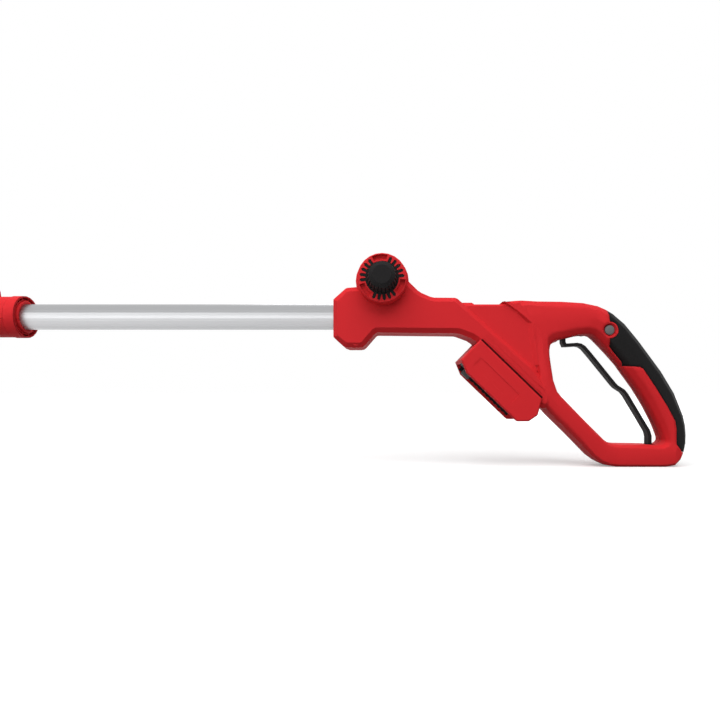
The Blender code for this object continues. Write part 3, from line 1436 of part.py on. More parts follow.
def spool_housing():
    """The spinning drum: a top with a drive hub and a wall with two line outlets."""
    inner = SPOOL_RADIUS - SPOOL_WALL
    rim = FLOOR_CLEARANCE + CAP_HEIGHT
    drum = turned("spool_housing", [
        (0, SPOOL_TOP),
        (0.014, SPOOL_TOP),
        (0.018, SPOOL_TOP - 0.003),
        (SPOOL_RADIUS - 0.006, SPOOL_TOP - 0.003),
        (SPOOL_RADIUS - 0.001, SPOOL_TOP - 0.006),
        (SPOOL_RADIUS, SPOOL_TOP - 0.010),
        (SPOOL_RADIUS, rim + GAP),
        (inner, rim + GAP),
        (inner, SPOOL_TOP - 0.010),
        (inner - 0.004, SPOOL_TOP - 0.003 - SPOOL_WALL),
        (0.0165, SPOOL_TOP - 0.003 - SPOOL_WALL),
        (HUB_RADIUS, SPOOL_TOP - 0.008),
        (HUB_RADIUS, HUB_END),
        (0, HUB_END),
    ], Matrix.Translation((MOTOR_X, 0, 0)))
    hex_ends = (MOTOR_X, 0, SPOOL_TOP - 0.0103), (MOTOR_X, 0, SPOOL_TOP - 0.0039)
    hex_bore = cylinder("hex", *hex_ends, DRIVE_RADIUS + GAP, sides=6)
    shaft_ends = (MOTOR_X, 0, SPOOL_TOP - 0.021), (MOTOR_X, 0, 0.1)
    shaft_bore = cylinder("shaft", *shaft_ends, SHAFT_RADIUS + GAP, sides=20)
    outlets = []
    for side in (-1, 1):
        z = OUTLET_Z
        outlets.append(cylinder(
            "outlet", (MOTOR_X, side * 0.03, z), (MOTOR_X, side * 0.06, z), EYELET_RADIUS + GAP, sides=20
        ))
    cut(drum, hex_bore, shaft_bore, *outlets)
    return finish(drum, "spool_housing", "black", origin=(MOTOR_X, 0, SPOOL_TOP))


def eyelets():
    """The metal eyelets that the line runs out through."""
    for side, name in ((-1, "eyelet_left"), (1, "eyelet_right")):
        place = along_y(MOTOR_X, OUTLET_Z, side * SPOOL_RADIUS, toward=side)
        eyelet = turned(name, [
            (LINE_RADIUS * 2, 0.0014),
            (EYELET_RADIUS + 0.0010, 0.0014),
            (EYELET_RADIUS + 0.0016, 0.0007),
            (EYELET_RADIUS + 0.0016, 0.0004),
            (EYELET_RADIUS, 0.0004),
            (EYELET_RADIUS, -SPOOL_WALL),
            (LINE_RADIUS * 2, -SPOOL_WALL),
        ], place, steps=14)
        finish(eyelet, name, "steel", origin=(MOTOR_X, side * SPOOL_RADIUS, OUTLET_Z))


def spool_cap():
    """The cap that snaps onto the drum's rim, open in the middle for the bump knob."""
    inner = SPOOL_RADIUS - SPOOL_WALL
    top = FLOOR_CLEARANCE + CAP_HEIGHT
    cap = turned("spool_cap", [
        (inner - 0.0030, top + 0.0040),
        (inner - GAP, top + 0.0040),
        (inner - GAP, top),
        (SPOOL_RADIUS, top),
        (SPOOL_RADIUS, FLOOR_CLEARANCE + 0.0070),
        (SPOOL_RADIUS - 0.0060, FLOOR_CLEARANCE + 0.0030),
        (KNOB_RADIUS + 0.0008, FLOOR_CLEARANCE + 0.0030),
        (KNOB_RADIUS + 0.0008, FLOOR_CLEARANCE + CAP_FLOOR),
        (inner - 0.0060, FLOOR_CLEARANCE + CAP_FLOOR),
        (inner - 0.0030, FLOOR_CLEARANCE + CAP_FLOOR + 0.0030),
    ], Matrix.Translation((MOTOR_X, 0, 0)))
    return finish(cap, "spool_cap", "black", origin=(MOTOR_X, 0, SPOOL_TOP))


def reel():
    """The line reel: hub, two flanges and a middle web."""
    low = REEL_LOW
    high = REEL_HIGH
    flange = SPOOL_RADIUS - SPOOL_WALL - 0.0045
    core = 0.020
    middle = (low + high) / 2
    body = turned("reel", [
        (HUB_RADIUS + 0.0006, high),
        (flange, high),
        (flange, high - 0.0018),
        (core, high - 0.0018),
        (core, middle + 0.0007),
        (flange, middle + 0.0007),
        (flange, middle - 0.0007),
        (core, middle - 0.0007),
        (core, low + 0.0018),
        (flange, low + 0.0018),
        (flange, low),
        (HUB_RADIUS + 0.0006, low),
    ], Matrix.Translation((MOTOR_X, 0, 0)), steps=20)
    return finish(body, "reel", "grey", origin=(MOTOR_X, 0, low))


def bump_knob():
    """The domed knob under the reel, which is tapped on the ground to feed line."""
    low = FLOOR_CLEARANCE
    top = REEL_LOW - GAP
    knob = turned("bump_knob", [
        (HUB_RADIUS + 0.0006, top),
        (KNOB_RADIUS + 0.003, top),
        (KNOB_RADIUS + 0.003, top - KNOB_LIP),
        (KNOB_RADIUS, top - KNOB_LIP),
        (KNOB_RADIUS, low + 0.0040),
        (KNOB_RADIUS - 0.0060, low + 0.0010),
        (KNOB_RADIUS - 0.0140, low),
        (0, low),
        (0, low + 0.0025),
        (HUB_RADIUS + 0.0006, low + 0.0025),
    ], Matrix.Translation((MOTOR_X, 0, 0)), steps=20)
    return finish(knob, "bump_knob", "black", origin=(MOTOR_X, 0, low))


def bump_spring():
    """The coil spring between the hub's end and the knob's floor."""
    low = FLOOR_CLEARANCE + 0.0025 + GAP + SPRING_WIRE
    high = HUB_END - GAP - SPRING_WIRE
    steps = SPRING_TURNS * SPRING_SIDES
    points = []
    for k in range(steps + 1):
        angle = 2 * math.pi * k / SPRING_SIDES
        height = low + (high - low) * k / steps
        points.append((MOTOR_X + SPRING_RADIUS * math.cos(angle), SPRING_RADIUS * math.sin(angle), height))
    spring = wire("bump_spring", points, SPRING_WIRE, 1)
    pitch = (high - low) / SPRING_TURNS
    print("bump spring gap between turns, mm:", round((pitch - 2 * SPRING_WIRE) * 1000, 2))
    return finish(spring, "bump_spring", "steel")


def wire(name, points, radius, resolution):
    """A round wire along a list of points."""
    curve = bpy.data.curves.new(name, "CURVE")
    curve.dimensions = "3D"
    curve.bevel_depth = radius
    curve.bevel_resolution = resolution
    curve.use_fill_caps = True
    spline = curve.splines.new("POLY")
    spline.points.add(len(points) - 1)
    for point, place in zip(spline.points, points):
        point.co = (*place, 1)
    obj = bpy.data.objects.new(name, curve)
    CUTTERS.objects.link(obj)
    return baked(obj)


def edge_guide():
    """The wire loop that keeps the line off a bed's edge: it swings on its two ends in the housing's ears."""
    end = MOTOR_HOUSING_RADIUS + 0.0072
    arm = MOTOR_HOUSING_RADIUS + 0.0160
    z = EDGE_GUIDE_Z
    reach = MOTOR_X - EDGE_GUIDE_REACH
    bend = 0.008
    points = [(MOTOR_X, end, z), (MOTOR_X, arm - bend / 3, z)]
    for k in range(1, 5):
        angle = math.pi / 2 * k / 4
        points.append((MOTOR_X - bend * (1 - math.cos(angle)), arm - bend / 3 + bend * math.sin(angle), z))
    width = arm + bend * 2 / 3
    corner = 0.030
    for k in range(7):
        angle = math.pi / 2 * k / 6
        drop = EDGE_GUIDE_DROP * (k / 6) ** 2
        side = width - corner * (1 - math.cos(angle))
        points.append((reach + corner * (1 - math.sin(angle)), side, z - drop))
    points += [(x, -y, height) for x, y, height in reversed(points)]
    loop = wire("edge_guide", points, EDGE_WIRE, 2)
    return finish(loop, "edge_guide", "steel", origin=(MOTOR_X, 0, z))


HOUSING_FORM = housing_outer()
HOUSING_SPACE = housing_space()
housing_half(-1, "housing_left")
housing_half(1, "housing_right")
grip_half(-1, "grip_left")
grip_half(1, "grip_right")
lock_button(-1, "aux_button_left")
lock_button(1, "aux_button_right")
trigger()
trigger_pin()
lock_off_button()
switch()
battery_dock()
terminal_block()
upper_tube()
guide_bush()
collar()
sleeve_shells()
clamp()
yoke()
pivot_bolt()
tilt_button()
motor_housing()
motor()
motor_shaft()
guard()
line_cutter()
spool_housing()
eyelets()
spool_cap()
reel()
bump_knob()
bump_spring()
edge_guide()
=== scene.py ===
import json
import math

import bmesh
import bpy
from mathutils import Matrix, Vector

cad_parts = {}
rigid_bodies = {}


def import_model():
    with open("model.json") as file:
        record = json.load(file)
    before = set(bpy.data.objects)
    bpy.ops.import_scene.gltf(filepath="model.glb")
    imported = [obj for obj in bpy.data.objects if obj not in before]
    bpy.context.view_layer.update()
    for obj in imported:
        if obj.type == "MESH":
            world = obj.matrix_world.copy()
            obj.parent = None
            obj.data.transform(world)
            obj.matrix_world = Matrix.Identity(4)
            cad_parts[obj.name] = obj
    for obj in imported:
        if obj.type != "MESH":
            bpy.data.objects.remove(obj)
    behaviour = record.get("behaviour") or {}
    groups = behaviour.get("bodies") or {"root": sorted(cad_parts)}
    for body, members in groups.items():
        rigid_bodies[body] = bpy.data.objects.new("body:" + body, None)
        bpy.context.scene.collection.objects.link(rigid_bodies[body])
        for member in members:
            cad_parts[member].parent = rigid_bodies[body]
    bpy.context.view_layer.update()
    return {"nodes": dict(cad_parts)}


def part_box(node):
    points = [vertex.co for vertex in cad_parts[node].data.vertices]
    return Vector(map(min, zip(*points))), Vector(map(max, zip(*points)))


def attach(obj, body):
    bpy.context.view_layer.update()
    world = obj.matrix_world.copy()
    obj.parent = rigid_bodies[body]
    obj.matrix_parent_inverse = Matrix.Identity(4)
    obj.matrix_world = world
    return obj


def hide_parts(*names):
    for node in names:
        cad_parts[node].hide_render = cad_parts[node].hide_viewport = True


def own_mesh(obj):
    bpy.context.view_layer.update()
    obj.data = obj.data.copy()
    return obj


for startupThing in list(bpy.data.objects):
    bpy.data.objects.remove(startupThing)

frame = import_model()
nodes = frame["nodes"]
print("frame loaded:", len(nodes), "CAD nodes")


# Node helpers: each adds one shader node, sets its sockets and links them

def addNode(tree, kind, values=None, **settings):
    node = tree.nodes.new(kind)
    for name, value in settings.items():
        setattr(node, name, value)
    for name, value in (values or {}).items():
        socket = node.inputs[name]
        if isinstance(value, bpy.types.NodeSocket):
            tree.links.new(value, socket)
        else:
            socket.default_value = value
    return node


def mixColour(tree, factor, first, second):
    # Sockets 0, 6 and 7 of a colour mix are its factor and two colours, and output 2 is its result
    values = {0: factor, 6: first, 7: second}
    return addNode(tree, "ShaderNodeMix", values, data_type="RGBA").outputs[2]


def calculate(tree, operation, *values):
    return addNode(tree, "ShaderNodeMath", dict(enumerate(values)), operation=operation).outputs[0]


def remap(tree, value, given, wanted=(0.0, 1.0), **settings):
    values = {
        "Value": value, "From Min": given[0], "From Max": given[1],
        "To Min": wanted[0], "To Max": wanted[1],
    }
    return addNode(tree, "ShaderNodeMapRange", values, **settings).outputs[0]


def noise(tree, place, scale, detail, roughness=0.5):
    values = {"Vector": place, "Scale": scale, "Detail": detail, "Roughness": roughness}
    return addNode(tree, "ShaderNodeTexNoise", values).outputs["Fac"]


def objectPlace(tree):
    return addNode(tree, "ShaderNodeTexCoord").outputs["Object"]


def newGroup(name, inputs, outputs):
    group = bpy.data.node_groups.new(name, "ShaderNodeTree")
    for label, kind, default in inputs:
        socket = group.interface.new_socket(label, in_out="INPUT", socket_type=kind)
        socket.default_value = default
    for label, kind in outputs:
        group.interface.new_socket(label, in_out="OUTPUT", socket_type=kind)
    return group, group.nodes.new("NodeGroupInput"), group.nodes.new("NodeGroupOutput")


def placeGroup(tree, group, values=None):
    node = tree.nodes.new("ShaderNodeGroup")
    node.node_tree = group
    for name, value in (values or {}).items():
        node.inputs[name].default_value = value
    return node


def shade(colour, factor):
    return tuple(min(1.0, c * factor) for c in colour[:3]) + (1.0,)


# Textures shared by the materials. Sizes are in metres and scales in repeats a metre; a pair of
# levels is where a mask starts and where it is full.

texture = {
    "grain": {"detail": 2.0, "roughness": 0.6},
    "drift": {"detail": 3.0, "roughness": 0.55},
    "fleck": {"scale": 900.0, "detail": 1.0},
    "fleckLevels": (0.66, 0.80),
    "edgeLikeness": (0.995, 0.86),
    "edgeSamples": 4,
    "breakUp": {"detail": 4.0},
    "breakUpLevels": (0.42, 0.60),
    "lines": {"detail": 3.0, "roughness": 0.65},
    "roundSamples": 8,
    "mouldDriftSize": 0.045,
    "glossLevels": (0.3, 0.7),
    "mouldGloss": (-0.05, 0.05),
    "metalGloss": (-0.04, 0.06),
}
floatKind, vectorKind = "NodeSocketFloat", "NodeSocketVector"


def makeGrainGroup():
    # Spark-eroded mould: fine grain for the bump, slow drifts for colour and gloss, rare flecks
    group, given, out = newGroup(
        "mouldGrain",
        [("Grain size", floatKind, 0.0004), ("Drift size", floatKind, 0.05)],
        [("Grain", floatKind), ("Drift", floatKind), ("Flecks", floatKind)],
    )
    place = objectPlace(group)
    grainScale = calculate(group, "DIVIDE", 1.0, given.outputs["Grain size"])
    driftScale = calculate(group, "DIVIDE", 1.0, given.outputs["Drift size"])
    fleck = noise(group, place, **texture["fleck"])
    made = {
        "Grain": noise(group, place, grainScale, **texture["grain"]),
        "Drift": noise(group, place, driftScale, **texture["drift"]),
        "Flecks": remap(group, fleck, texture["fleckLevels"]),
    }
    for label, result in made.items():
        group.links.new(result, out.inputs[label])
    return group


def makeEdgeGroup():
    # Where two faces meet: the rounded normal leaves the flat one, so the mask rises on edges
    group, given, out = newGroup(
        "edgeWear",
        [("Width", floatKind, 0.0008), ("Break-up size", floatKind, 0.004)],
        [("Edge", floatKind), ("Worn edge", floatKind)],
    )
    rounded = addNode(
        group, "ShaderNodeBevel", {"Radius": given.outputs["Width"]},
        samples=texture["edgeSamples"],
    )
    flat = addNode(group, "ShaderNodeNewGeometry")
    likeness = addNode(
        group, "ShaderNodeVectorMath",
        {0: rounded.outputs["Normal"], 1: flat.outputs["Normal"]}, operation="DOT_PRODUCT",
    )
    edge = remap(group, likeness.outputs["Value"], texture["edgeLikeness"])
    breakUpScale = calculate(group, "DIVIDE", 1.0, given.outputs["Break-up size"])
    patches = noise(group, objectPlace(group), breakUpScale, **texture["breakUp"])
    broken = remap(group, patches, texture["breakUpLevels"])
    group.links.new(edge, out.inputs["Edge"])
    group.links.new(calculate(group, "MULTIPLY", edge, broken), out.inputs["Worn edge"])
    return group


def makeLinesGroup():
    # Lines drawn along a bar or turned round it, by stretching noise along one axis
    group, given, out = newGroup(
        "drawnLines",
        [("Stretch", vectorKind, (1.0, 60.0, 60.0)), ("Fineness", floatKind, 60.0)],
        [("Lines", floatKind)],
    )
    stretched = addNode(
        group, "ShaderNodeVectorMath",
        {0: objectPlace(group), 1: given.outputs["Stretch"]}, operation="MULTIPLY",
    )
    lines = noise(group, stretched.outputs[0], given.outputs["Fineness"], **texture["lines"])
    group.links.new(lines, out.inputs["Lines"])
    return group


grainGroup = makeGrainGroup()
edgeGroup = makeEdgeGroup()
linesGroup = makeLinesGroup()


# Materials

def startMaterial(name):
    material = bpy.data.materials.new(name)
    material.use_nodes = True
    tree = material.node_tree
    return material, tree, tree.nodes["Principled BSDF"]


def driftColour(tree, look, drift, flecks):
    colour, change = look["colour"], look["drift"]
    drifted = mixColour(tree, drift, shade(colour, 1 - change), shade(colour, 1 + change))
    return mixColour(tree, flecks, drifted, shade(colour, look["fleck"]))


def glossAround(tree, look, value, spread):
    low, high = spread
    wanted = (look["rough"] + low, look["rough"] + high)
    return remap(tree, value, texture["glossLevels"], wanted)


def bumpInto(tree, shader, look, height, under=None):
    values = {"Height": height, "Distance": look["depth"], "Strength": look["bump"]}
    if under is not None:
        values["Normal"] = under
    bump = addNode(tree, "ShaderNodeBump", values)
    tree.links.new(bump.outputs["Normal"], shader.inputs["Normal"])


def roundedNormal(tree, spans):
    # The moulding turns in soft curves where every span along an axis holds, and is crisp elsewhere
    axes = addNode(tree, "ShaderNodeSeparateXYZ", {"Vector": objectPlace(tree)})
    radius = spans["radius"]
    for axis, start, end in spans["where"]:
        share = remap(tree, axes.outputs[axis], (start, end))
        radius = calculate(tree, "MULTIPLY", radius, share)
    rounded = addNode(
        tree, "ShaderNodeBevel", {"Radius": radius}, samples=texture["roundSamples"],
    )
    return rounded.outputs["Normal"]


def mouldedMaterial(name, look):
    material, tree, shader = startMaterial(name)
    sizes = {"Grain size": look["grain"], "Drift size": texture["mouldDriftSize"]}
    grain = placeGroup(tree, grainGroup, sizes).outputs
    edge = placeGroup(tree, edgeGroup, {"Width": look["edgeWidth"]}).outputs
    colour = driftColour(tree, look, grain["Drift"], grain["Flecks"])
    edged = mixColour(tree, edge["Worn edge"], colour, look["edgeColour"])
    tree.links.new(edged, shader.inputs["Base Color"])
    gloss = glossAround(tree, look, grain["Drift"], texture["mouldGloss"])
    shiny = calculate(tree, "MULTIPLY_ADD", edge["Edge"], -look["edgeGloss"], gloss)
    tree.links.new(shiny, shader.inputs["Roughness"])
    shader.inputs["Specular IOR Level"].default_value = look["specular"]
    rounded = roundedNormal(tree, look["round"]) if "round" in look else None
    bumpInto(tree, shader, look, grain["Grain"], rounded)
    return material


def metalMaterial(name, look):
    material, tree, shader = startMaterial(name)
    drawn = {"Stretch": look["stretch"], "Fineness": look["fineness"]}
    lines = placeGroup(tree, linesGroup, drawn).outputs["Lines"]
    flecks = placeGroup(tree, grainGroup).outputs["Flecks"]
    tree.links.new(driftColour(tree, look, lines, flecks), shader.inputs["Base Color"])
    shader.inputs["Metallic"].default_value = 1.0
    gloss = glossAround(tree, look, lines, texture["metalGloss"])
    tree.links.new(gloss, shader.inputs["Roughness"])
    bumpInto(tree, shader, look, lines)
    return material


# Looks. The red plastic turns in soft curves only on the D, right of the dock and above its foot.
redLook = dict(
    colour=(0.615, 0.0210, 0.0260), drift=0.035, fleck=0.93,
    edgeColour=(0.68, 0.036, 0.042, 1), edgeWidth=0.0007, edgeGloss=0.08,
    rough=0.60, specular=0.10, grain=0.00045, depth=0.00006, bump=0.35,
    round={"radius": 0.0050, "where": (("X", -0.104, -0.088), ("Z", 0.012, 0.030))},
)
blackLook = dict(
    colour=(0.0105, 0.0098, 0.0102), drift=0.10, fleck=1.3,
    edgeColour=(0.020, 0.019, 0.020, 1), edgeWidth=0.0006, edgeGloss=0.08,
    rough=0.56, specular=0.10, grain=0.00040, depth=0.00006, bump=0.35,
)
greyLook = dict(
    colour=(0.125, 0.122, 0.122), drift=0.06, fleck=0.85,
    edgeColour=(0.20, 0.195, 0.195, 1), edgeWidth=0.0006, edgeGloss=0.10,
    rough=0.45, specular=0.3, grain=0.00040, depth=0.00006, bump=0.35,
)
rubberLook = dict(
    colour=(0.0060, 0.0056, 0.0058), drift=0.12, fleck=1.6,
    edgeColour=(0.014, 0.013, 0.014, 1), edgeWidth=0.0008, edgeGloss=0.08,
    rough=0.52, specular=0.12, grain=0.00060, depth=0.00012, bump=0.45,
    round={"radius": 0.0050, "where": ()},
)
# Painted shade: a near-black red for the strip that stands for the shadow in the gap between strap
# and dock
gapShadeLook = dict(
    colour=(0.0420, 0.0022, 0.0024), drift=0.10, fleck=1.3,
    edgeColour=(0.045, 0.005, 0.005, 1), edgeWidth=0.0004, edgeGloss=0.06,
    rough=0.60, specular=0.05, grain=0.00050, depth=0.00006, bump=0.35,
)
tubeLook = dict(
    colour=(0.450, 0.4545, 0.4635), drift=0.025, fleck=0.98, rough=0.36,
    stretch=(0.03, 1.0, 1.0), fineness=1800.0, depth=0.00003, bump=0.06,
)
steelLook = dict(
    colour=(0.40, 0.40, 0.41), drift=0.05, fleck=0.85, rough=0.30,
    stretch=(1.0, 1.0, 0.06), fineness=500.0, depth=0.00003, bump=0.15,
)
wireLook = dict(
    colour=(0.27, 0.265, 0.26), drift=0.05, fleck=0.80, rough=0.33,
    stretch=(0.3, 0.3, 0.3), fineness=400.0, depth=0.00003, bump=0.12,
)
contactLook = dict(
    colour=(0.78, 0.52, 0.30), drift=0.06, fleck=0.85, rough=0.28,
    stretch=(1.0, 0.2, 1.0), fineness=500.0, depth=0.00002, bump=0.12,
)

finishOf = {
    "red": mouldedMaterial("red moulded plastic", redLook),
    "black": mouldedMaterial("black moulded plastic", blackLook),
    "grey": mouldedMaterial("grey moulded plastic", greyLook),
    "rubber": mouldedMaterial("overmoulded grip rubber", rubberLook),
    "gapShade": mouldedMaterial("painted gap shade", gapShadeLook),
    "tube": metalMaterial("drawn aluminium", tubeLook),
    "steel": metalMaterial("zinc plated steel", steelLook),
    "wire": metalMaterial("drawn steel wire", wireLook),
    "copper": metalMaterial("contact copper", contactLook),
}
print("materials made")

nodesWith = {
    "red": (
        "housing_left", "housing_right", "battery_dock", "collar", "sleeve_top", "sleeve_bottom",
        "tilt_button", "motor_housing_left", "motor_housing_right", "switch_plunger",
    ),
    "black": (
        "aux_button_left", "aux_button_right", "trigger", "terminal_block", "guide_bush", "switch",
        "lock_lever", "guard", "spool_housing", "spool_cap", "yoke", "bump_knob",
    ),
    "grey": ("lock_off_button", "clamp_shoe", "reel"),
    "rubber": ("grip_left", "grip_right"),
    "tube": ("upper_tube",),
    "steel": (
        "lever_pin", "line_cutter", "motor_can", "motor_shaft", "pivot_bolt", "trigger_pin",
        "eyelet_left", "eyelet_right",
    ),
    "wire": ("bump_spring", "edge_guide"),
    "copper": ("contact_blade_1", "contact_blade_2", "contact_blade_3"),
}
for finish, names in nodesWith.items():
    for name in names:
        mesh = nodes[name].data
        mesh.materials.clear()
        mesh.materials.append(finishOf[finish])


# Moulded edges are rounded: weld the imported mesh, bevel its sharp edges and shade it evenly

moulding = {"weld": 0.00001, "segments": 2, "sharp": math.radians(24), "weight": 50}
softEdge = {
    0.0003: (
        "trigger", "aux_button_left", "aux_button_right", "lock_off_button", "clamp_shoe",
        "terminal_block",
    ),
    0.0004: ("grip_left", "grip_right", "tilt_button"),
    0.0005: ("housing_left", "housing_right", "collar", "lock_lever", "bump_knob"),
    0.0006: ("sleeve_top", "sleeve_bottom", "guard", "spool_housing", "spool_cap", "yoke"),
    0.0007: ("battery_dock",),
    0.0008: ("motor_housing_left", "motor_housing_right"),
}


def shadeEvenly(piece):
    for face in piece.data.polygons:
        face.use_smooth = True
    weighted = piece.modifiers.new("even shading", "WEIGHTED_NORMAL")
    weighted.keep_sharp = False
    weighted.weight = moulding["weight"]


def softenEdges(piece, width):
    normals = piece.data.attributes.get("custom_normal")
    if normals is not None:
        piece.data.attributes.remove(normals)
    weld = piece.modifiers.new("weld", "WELD")
    weld.merge_threshold = moulding["weld"]
    bevel = piece.modifiers.new("soft edges", "BEVEL")
    bevel.width = width
    bevel.segments = moulding["segments"]
    bevel.limit_method = "ANGLE"
    bevel.angle_limit = moulding["sharp"]
    shadeEvenly(piece)


for width, names in softEdge.items():
    for name in names:
        softenEdges(nodes[name], width)
print("edges softened")


# Small pieces that the solids leave out: the dock's trim with a dark strip of painted shade in the
# gap between strap and dock, screws, the wound spring and a saddle


def loftForm(rings):
    # Rings of points, all of one length, joined into one closed form
    form = bmesh.new()
    loops = [[form.verts.new(point) for point in ring] for ring in rings]
    form.faces.new(loops[0])
    form.faces.new(loops[-1][::-1])
    for lower, upper in zip(loops, loops[1:]):
        for k in range(len(lower)):
            after = (k + 1) % len(lower)
            form.faces.new((lower[k], lower[after], upper[after], upper[k]))
    bmesh.ops.recalc_face_normals(form, faces=form.faces)
    return form


def roundForm(form, width, segments, **settings):
    bmesh.ops.bevel(
        form, geom=form.edges[:], offset=width, segments=segments, affect="EDGES", **settings,
    )


def addPiece(name, form, finish, body):
    mesh = bpy.data.meshes.new(name)
    form.to_mesh(mesh)
    form.free()
    mesh.materials.append(finishOf[finish])
    piece = bpy.data.objects.new(name, mesh)
    bpy.context.scene.collection.objects.link(piece)
    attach(piece, body)
    return piece


# The dock's side view has its corner on the strut: first along the strut, then away from it.
# A reach is how far from the middle plane a piece starts and ends.
dock = {
    "corner": (-0.0980, 0.0555),
    "angle": math.radians(44),
    "roundSegments": 2,
    # The first strip is painted shade: a dark strip along the strap above the dock, where the gap
    # between them lies in shadow
    "gapShade": (-0.0905, -0.0100, -0.0078, -0.0058),
    "gapShadeReach": (0.0200, 0.0250),
    "gapShadeRound": 0.0003,
    "beads": (-0.0104, -0.0146),
    "beadSpan": (-0.0915, -0.0120),
    "beadWidth": 0.0008,
    "beadReach": (0.0200, 0.02125),
    "beadRound": 0.0002,
    "lining": (-0.0840, -0.0150, 0.0156, 0.0238),
    "liningReach": (0.0212, 0.0226),
    "liningNotches": 12,
    "liningNotch": 0.0007,
    "catch": (-0.0800, -0.0700, 0.0165, 0.0252),
    "catchReach": (0.0180, 0.0226),
    "catchRound": 0.0005,
}


def dockPlace(along, away):
    x, z = dock["corner"]
    return (
        x + along * math.cos(dock["angle"]) - away * math.sin(dock["angle"]),
        z - along * math.sin(dock["angle"]) - away * math.cos(dock["angle"]),
    )


def boxOutline(start, end, low, high):
    return [(start, low), (end, low), (end, high), (start, high)]


def notchedOutline(start, end, low, high):
    # A strip whose outer edge is cut into blocks
    outline = [(end, low), (start, low)]
    count = 2 * dock["liningNotches"] + 1
    step = (end - start) / count
    for k in range(count):
        top = high if k % 2 == 0 else high - dock["liningNotch"]
        outline += [(start + k * step, top), (start + (k + 1) * step, top)]
    return outline


def dockSlab(name, outline, side, reach, finish, width=0.0):
    # An outline in the dock's side view, drawn out across the tool
    spots = [dockPlace(along, away) for along, away in outline]
    ends = sorted(side * y for y in reach)
    form = loftForm([[(x, y, z) for x, z in spots] for y in ends])
    if width:
        roundForm(form, width, dock["roundSegments"], clamp_overlap=True)
    addPiece(name, form, finish, "handle")


def dressDock():
    start, end = dock["beadSpan"]
    half = dock["beadWidth"] / 2
    for side, hand in ((-1, "left"), (1, "right")):
        gapShade, catch = boxOutline(*dock["gapShade"]), boxOutline(*dock["catch"])
        # Painted shade: a dark strip where the gap between strap and dock lies in shadow
        dockSlab("dock_gap_shade_" + hand, gapShade, side, dock["gapShadeReach"], "gapShade", dock["gapShadeRound"])
        for number, away in enumerate(dock["beads"], 1):
            name = "strap_bead_" + hand + "_" + str(number)
            bead = boxOutline(start, end, away - half, away + half)
            dockSlab(name, bead, side, dock["beadReach"], "red", dock["beadRound"])
        lining = notchedOutline(*dock["lining"])
        dockSlab("dock_lining_" + hand, lining, side, dock["liningReach"], "black")
        dockSlab("dock_catch_" + hand, catch, side, dock["catchReach"], "grey", dock["catchRound"])


# Screws in the far half's counterbores: x, z and how deep each seat is. The head is rings of
# radius, height and how much the ring is lobed.
screw = {
    "seats": (
        (-0.279, 0.1215, 0.0175), (-0.128, 0.0980, 0.0170), (-0.108, 0.1480, 0.0130),
        (-0.008, 0.1180, 0.0100), (0.034, 0.0200, 0.0110), (-0.060, 0.0330, 0.0120),
    ),
    "sides": 36,
    "lobes": 6,
    "head": (
        (0.0016, -0.0004, 0), (0.0026, -0.0004, 0), (0.0027, 0.0006, 0), (0.0025, 0.0011, 0),
        (0.0020, 0.0015, 0), (0.0014, 0.0016, 0), (0.0012, 0.0016, 0.14), (0.0011, 0.0006, 0.14),
        (0.0005, 0.0004, 0),
    ),
    "crisp": math.radians(35),
}


def screwRing(radius, height, depth, foot):
    ring = []
    for k in range(screw["sides"]):
        angle = 2 * math.pi * k / screw["sides"]
        reach = radius * (1 + depth * math.cos(screw["lobes"] * angle))
        ring.append(foot + Vector((reach * math.cos(angle), height, -reach * math.sin(angle))))
    return ring


def driveScrews():
    for number, (x, z, seat) in enumerate(screw["seats"], 1):
        foot = Vector((x, seat, z))
        form = loftForm([screwRing(*ring, foot) for ring in screw["head"]])
        piece = addPiece("housing_screw_" + str(number), form, "steel", "handle")
        for face in piece.data.polygons:
            face.use_smooth = True
        split = piece.modifiers.new("crisp edges", "EDGE_SPLIT")
        split.split_angle = screw["crisp"]


# The bump spring, wound anew as a coil over the height of the part's spring, which it hides
spring = {
    "turns": 5,
    "wire": 0.0007,
    "coil": 0.0070,
    "stepsATurn": 30,
    "sides": 10,
    "travel": 0.005,
}


def springRing(centre, angle, height):
    outward = Vector((math.cos(angle), math.sin(angle), 0))
    middle = Vector((centre, 0, height)) + spring["coil"] * outward
    ring = []
    for j in range(spring["sides"]):
        turn = 2 * math.pi * j / spring["sides"]
        reach = math.cos(turn) * outward + math.sin(turn) * Vector((0, 0, 1))
        ring.append(middle + spring["wire"] * reach)
    return ring


def windSpring():
    low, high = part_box("bump_spring")
    first, last = low[2] + spring["wire"], high[2] - spring["wire"]
    knobXs = [corner.co.x for corner in nodes["bump_knob"].data.vertices]
    centre = (min(knobXs) + max(knobXs)) / 2
    steps = spring["turns"] * spring["stepsATurn"]
    rings = []
    for k in range(steps + 1):
        angle = 2 * math.pi * k / spring["stepsATurn"]
        rings.append(springRing(centre, angle, first + (last - first) * k / steps))
    coil = addPiece("bump_spring_coil", loftForm(rings), "wire", "spool")
    for face in coil.data.polygons:
        face.use_smooth = len(face.vertices) == 4
    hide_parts("bump_spring")
    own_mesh(coil)


# The raised saddle over the tube's end, on top of the body: start, end, half width and height
saddle = {
    "foot": (-0.1805, -0.1622, 0.0104, 0.1576),
    "top": (-0.1797, -0.1644, 0.0082, 0.1613),
    "round": 0.0008,
    "roundSegments": 4,
}


def seatSaddle():
    rings = []
    for start, end, half, height in (saddle["foot"], saddle["top"]):
        corners = ((start, -half), (end, -half), (end, half), (start, half))
        rings.append([(x, y, height) for x, y in corners])
    form = loftForm(rings)
    roundForm(form, saddle["round"], saddle["roundSegments"])
    shadeEvenly(addPiece("tube_saddle", form, "red", "handle"))


dressDock()
driveScrews()
windSpring()
seatSaddle()
print("small pieces made")


# Floor, light and camera. The wide key lights without a reflection of its own, so that the fill
# alone draws the bright line along the tube.

